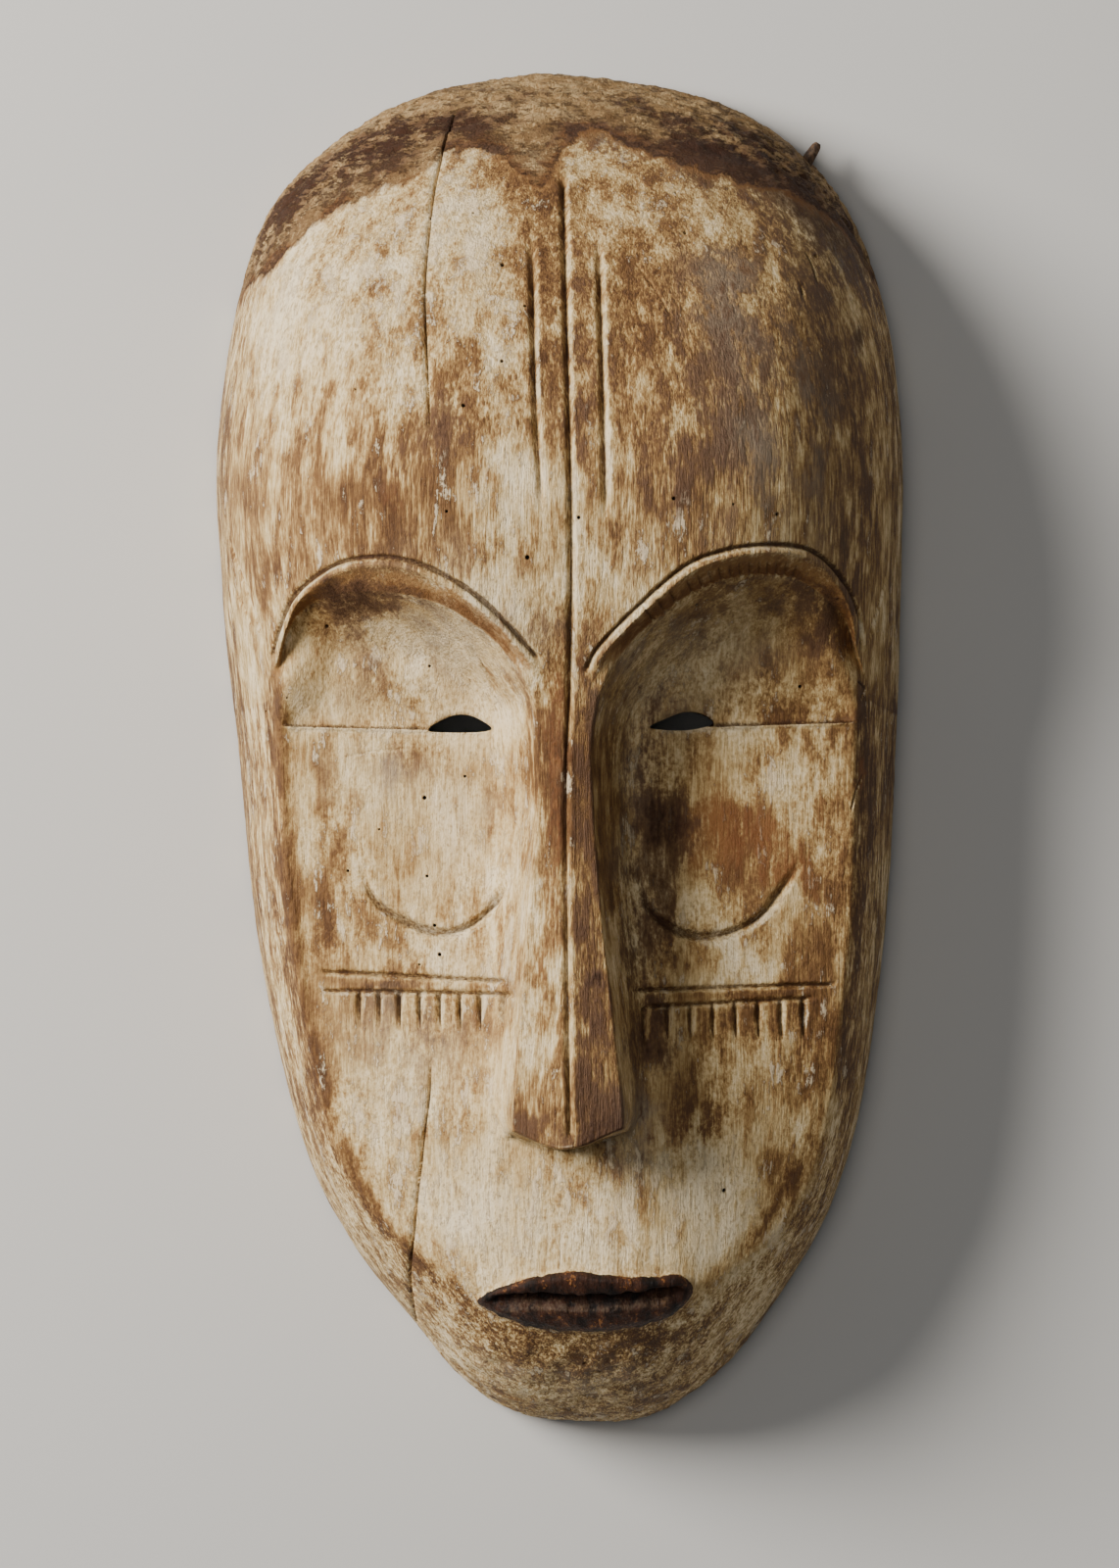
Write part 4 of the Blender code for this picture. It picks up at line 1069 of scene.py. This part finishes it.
# Every third side is whittled flatter by this share of the radius, and all are uneven by the other
PEG_FLAT, PEG_UNEVEN = 0.07, 0.05
peg_run = np.array([math.cos(PEG_LEAN), math.sin(PEG_LEAN), 0.0])
peg_middle = np.array((peg_low + peg_high) / 2)
far_out = (peg_points - peg_middle) @ peg_run
beside = np.array([-math.sin(PEG_LEAN), math.cos(PEG_LEAN), 0.0])
peg_width = 2 * np.abs((peg_points - peg_middle) @ beside).max()
PROFILE = [(0.0, 0.62), (0.05, 0.96), (0.3, 0.95), (0.6, 0.86), (0.85, 0.74), (0.96, 0.62), (1.0, 0.40)]
shape = bmesh.new()
rings = []
for share in np.linspace(0, 1, PEG_RINGS):
    radius = peg_width / 2 * np.interp(share, *np.array(PROFILE).T)
    centre = peg_middle + peg_run * (far_out.min() + share * (far_out.max() - far_out.min()))
    ring = []
    for side in range(PEG_SIDES):
        turn = 2 * math.pi * side / PEG_SIDES
        wide = radius * (1 - PEG_FLAT * (side % 3 == 0) - PEG_UNEVEN * rng.random())
        place = centre + wide * (beside * math.cos(turn) + np.array([0, 0, 1]) * math.sin(turn))
        ring.append(shape.verts.new(place))
    rings.append(ring)
for ring, after in zip(rings[:-1], rings[1:]):
    for side in range(PEG_SIDES):
        following = (side + 1) % PEG_SIDES
        shape.faces.new([ring[side], ring[following], after[following], after[side]])
shape.faces.new(rings[0])
shape.faces.new(rings[-1])
peg = piece_of(bpy.data.meshes.new("peg_thorn"), shape)
peg.data.set_sharp_from_angle(angle=PEG_CREASE)

THORN_DARK, THORN_BROWN, THORN_PALE = (0.035, 0.018, 0.010), (0.14, 0.075, 0.035), (0.22, 0.15, 0.09)
thorn = Finish("dark thorn wood")
thorn_grain = thorn.grain(0.0008, 4.0, 4.0, 0.6)
thorn_cloud = thorn.grain(0.003, 1.0, 3.0, 0.6, 5.0)
thorn_colour = thorn.coats(THORN_DARK, [(THORN_BROWN, thorn.rise(thorn_grain, 0.4, 0.65)),
                                        (THORN_PALE, thorn.rise(thorn_cloud, 0.55, 0.7) * 0.5)])
thorn.feed(thorn.shader.inputs["Base Color"], thorn_colour)
thorn.feed(thorn.shader.inputs["Roughness"], 0.6 + thorn_cloud * 0.25)
thorn_bump = thorn.node("ShaderNodeBump", {}, {"Strength": 0.5, "Distance": 0.0004, "Height": thorn_grain})
thorn.feed(thorn.shader.inputs["Normal"], thorn_bump)
peg.data.materials.append(thorn.material)

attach(peg, "root")
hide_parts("peg")


# The floor and the light
# A plain pale floor, a large soft lamp high on the left, towards the crown, and a weak one almost straight
# overhead.
FLOOR_SIZE, FLOOR_GAP, FLOOR_TONE, FLOOR_ROUGHNESS = 40.0, 0.0005, (0.62, 0.61, 0.59, 1), 0.9
SKY_TONE, SKY_STRENGTH = (0.9, 0.95, 1.0, 1), 0.1
bpy.ops.mesh.primitive_plane_add(size=FLOOR_SIZE, location=(0, 0, -FLOOR_GAP))
floor = bpy.context.object
floor.name = "floor"
floor_finish = bpy.data.materials.new("pale floor")
floor_finish.use_nodes = True
floor_shader = floor_finish.node_tree.nodes["Principled BSDF"]
floor_shader.inputs["Base Color"].default_value = FLOOR_TONE
floor_shader.inputs["Roughness"].default_value = FLOOR_ROUGHNESS
floor.data.materials.append(floor_finish)

LAMPS = [
    {"name": "key", "place": (-1.9, 0.8, 1.6), "size": 1.3, "power": 128, "colour": (1.0, 0.96, 0.90)},
    {"name": "fill", "place": (-0.2, 0.2, 2.9), "size": 1.0, "power": 13, "colour": (1.0, 0.97, 0.93)},
]
for lamp in LAMPS:
    light = bpy.data.lights.new(lamp["name"], "AREA")
    light.shape = "DISK"
    light.size = lamp["size"]
    light.energy = lamp["power"]
    light.color = lamp["colour"]
    holder = bpy.data.objects.new(lamp["name"], light)
    holder.location = lamp["place"]
    holder.rotation_euler = (-Vector(lamp["place"])).to_track_quat("-Z", "Y").to_euler()
    bpy.context.scene.collection.objects.link(holder)
world = bpy.data.worlds.new("studio")
world.use_nodes = True
sky = world.node_tree.nodes["Background"].inputs
sky["Color"].default_value = SKY_TONE
sky["Strength"].default_value = SKY_STRENGTH
bpy.context.scene.world = world
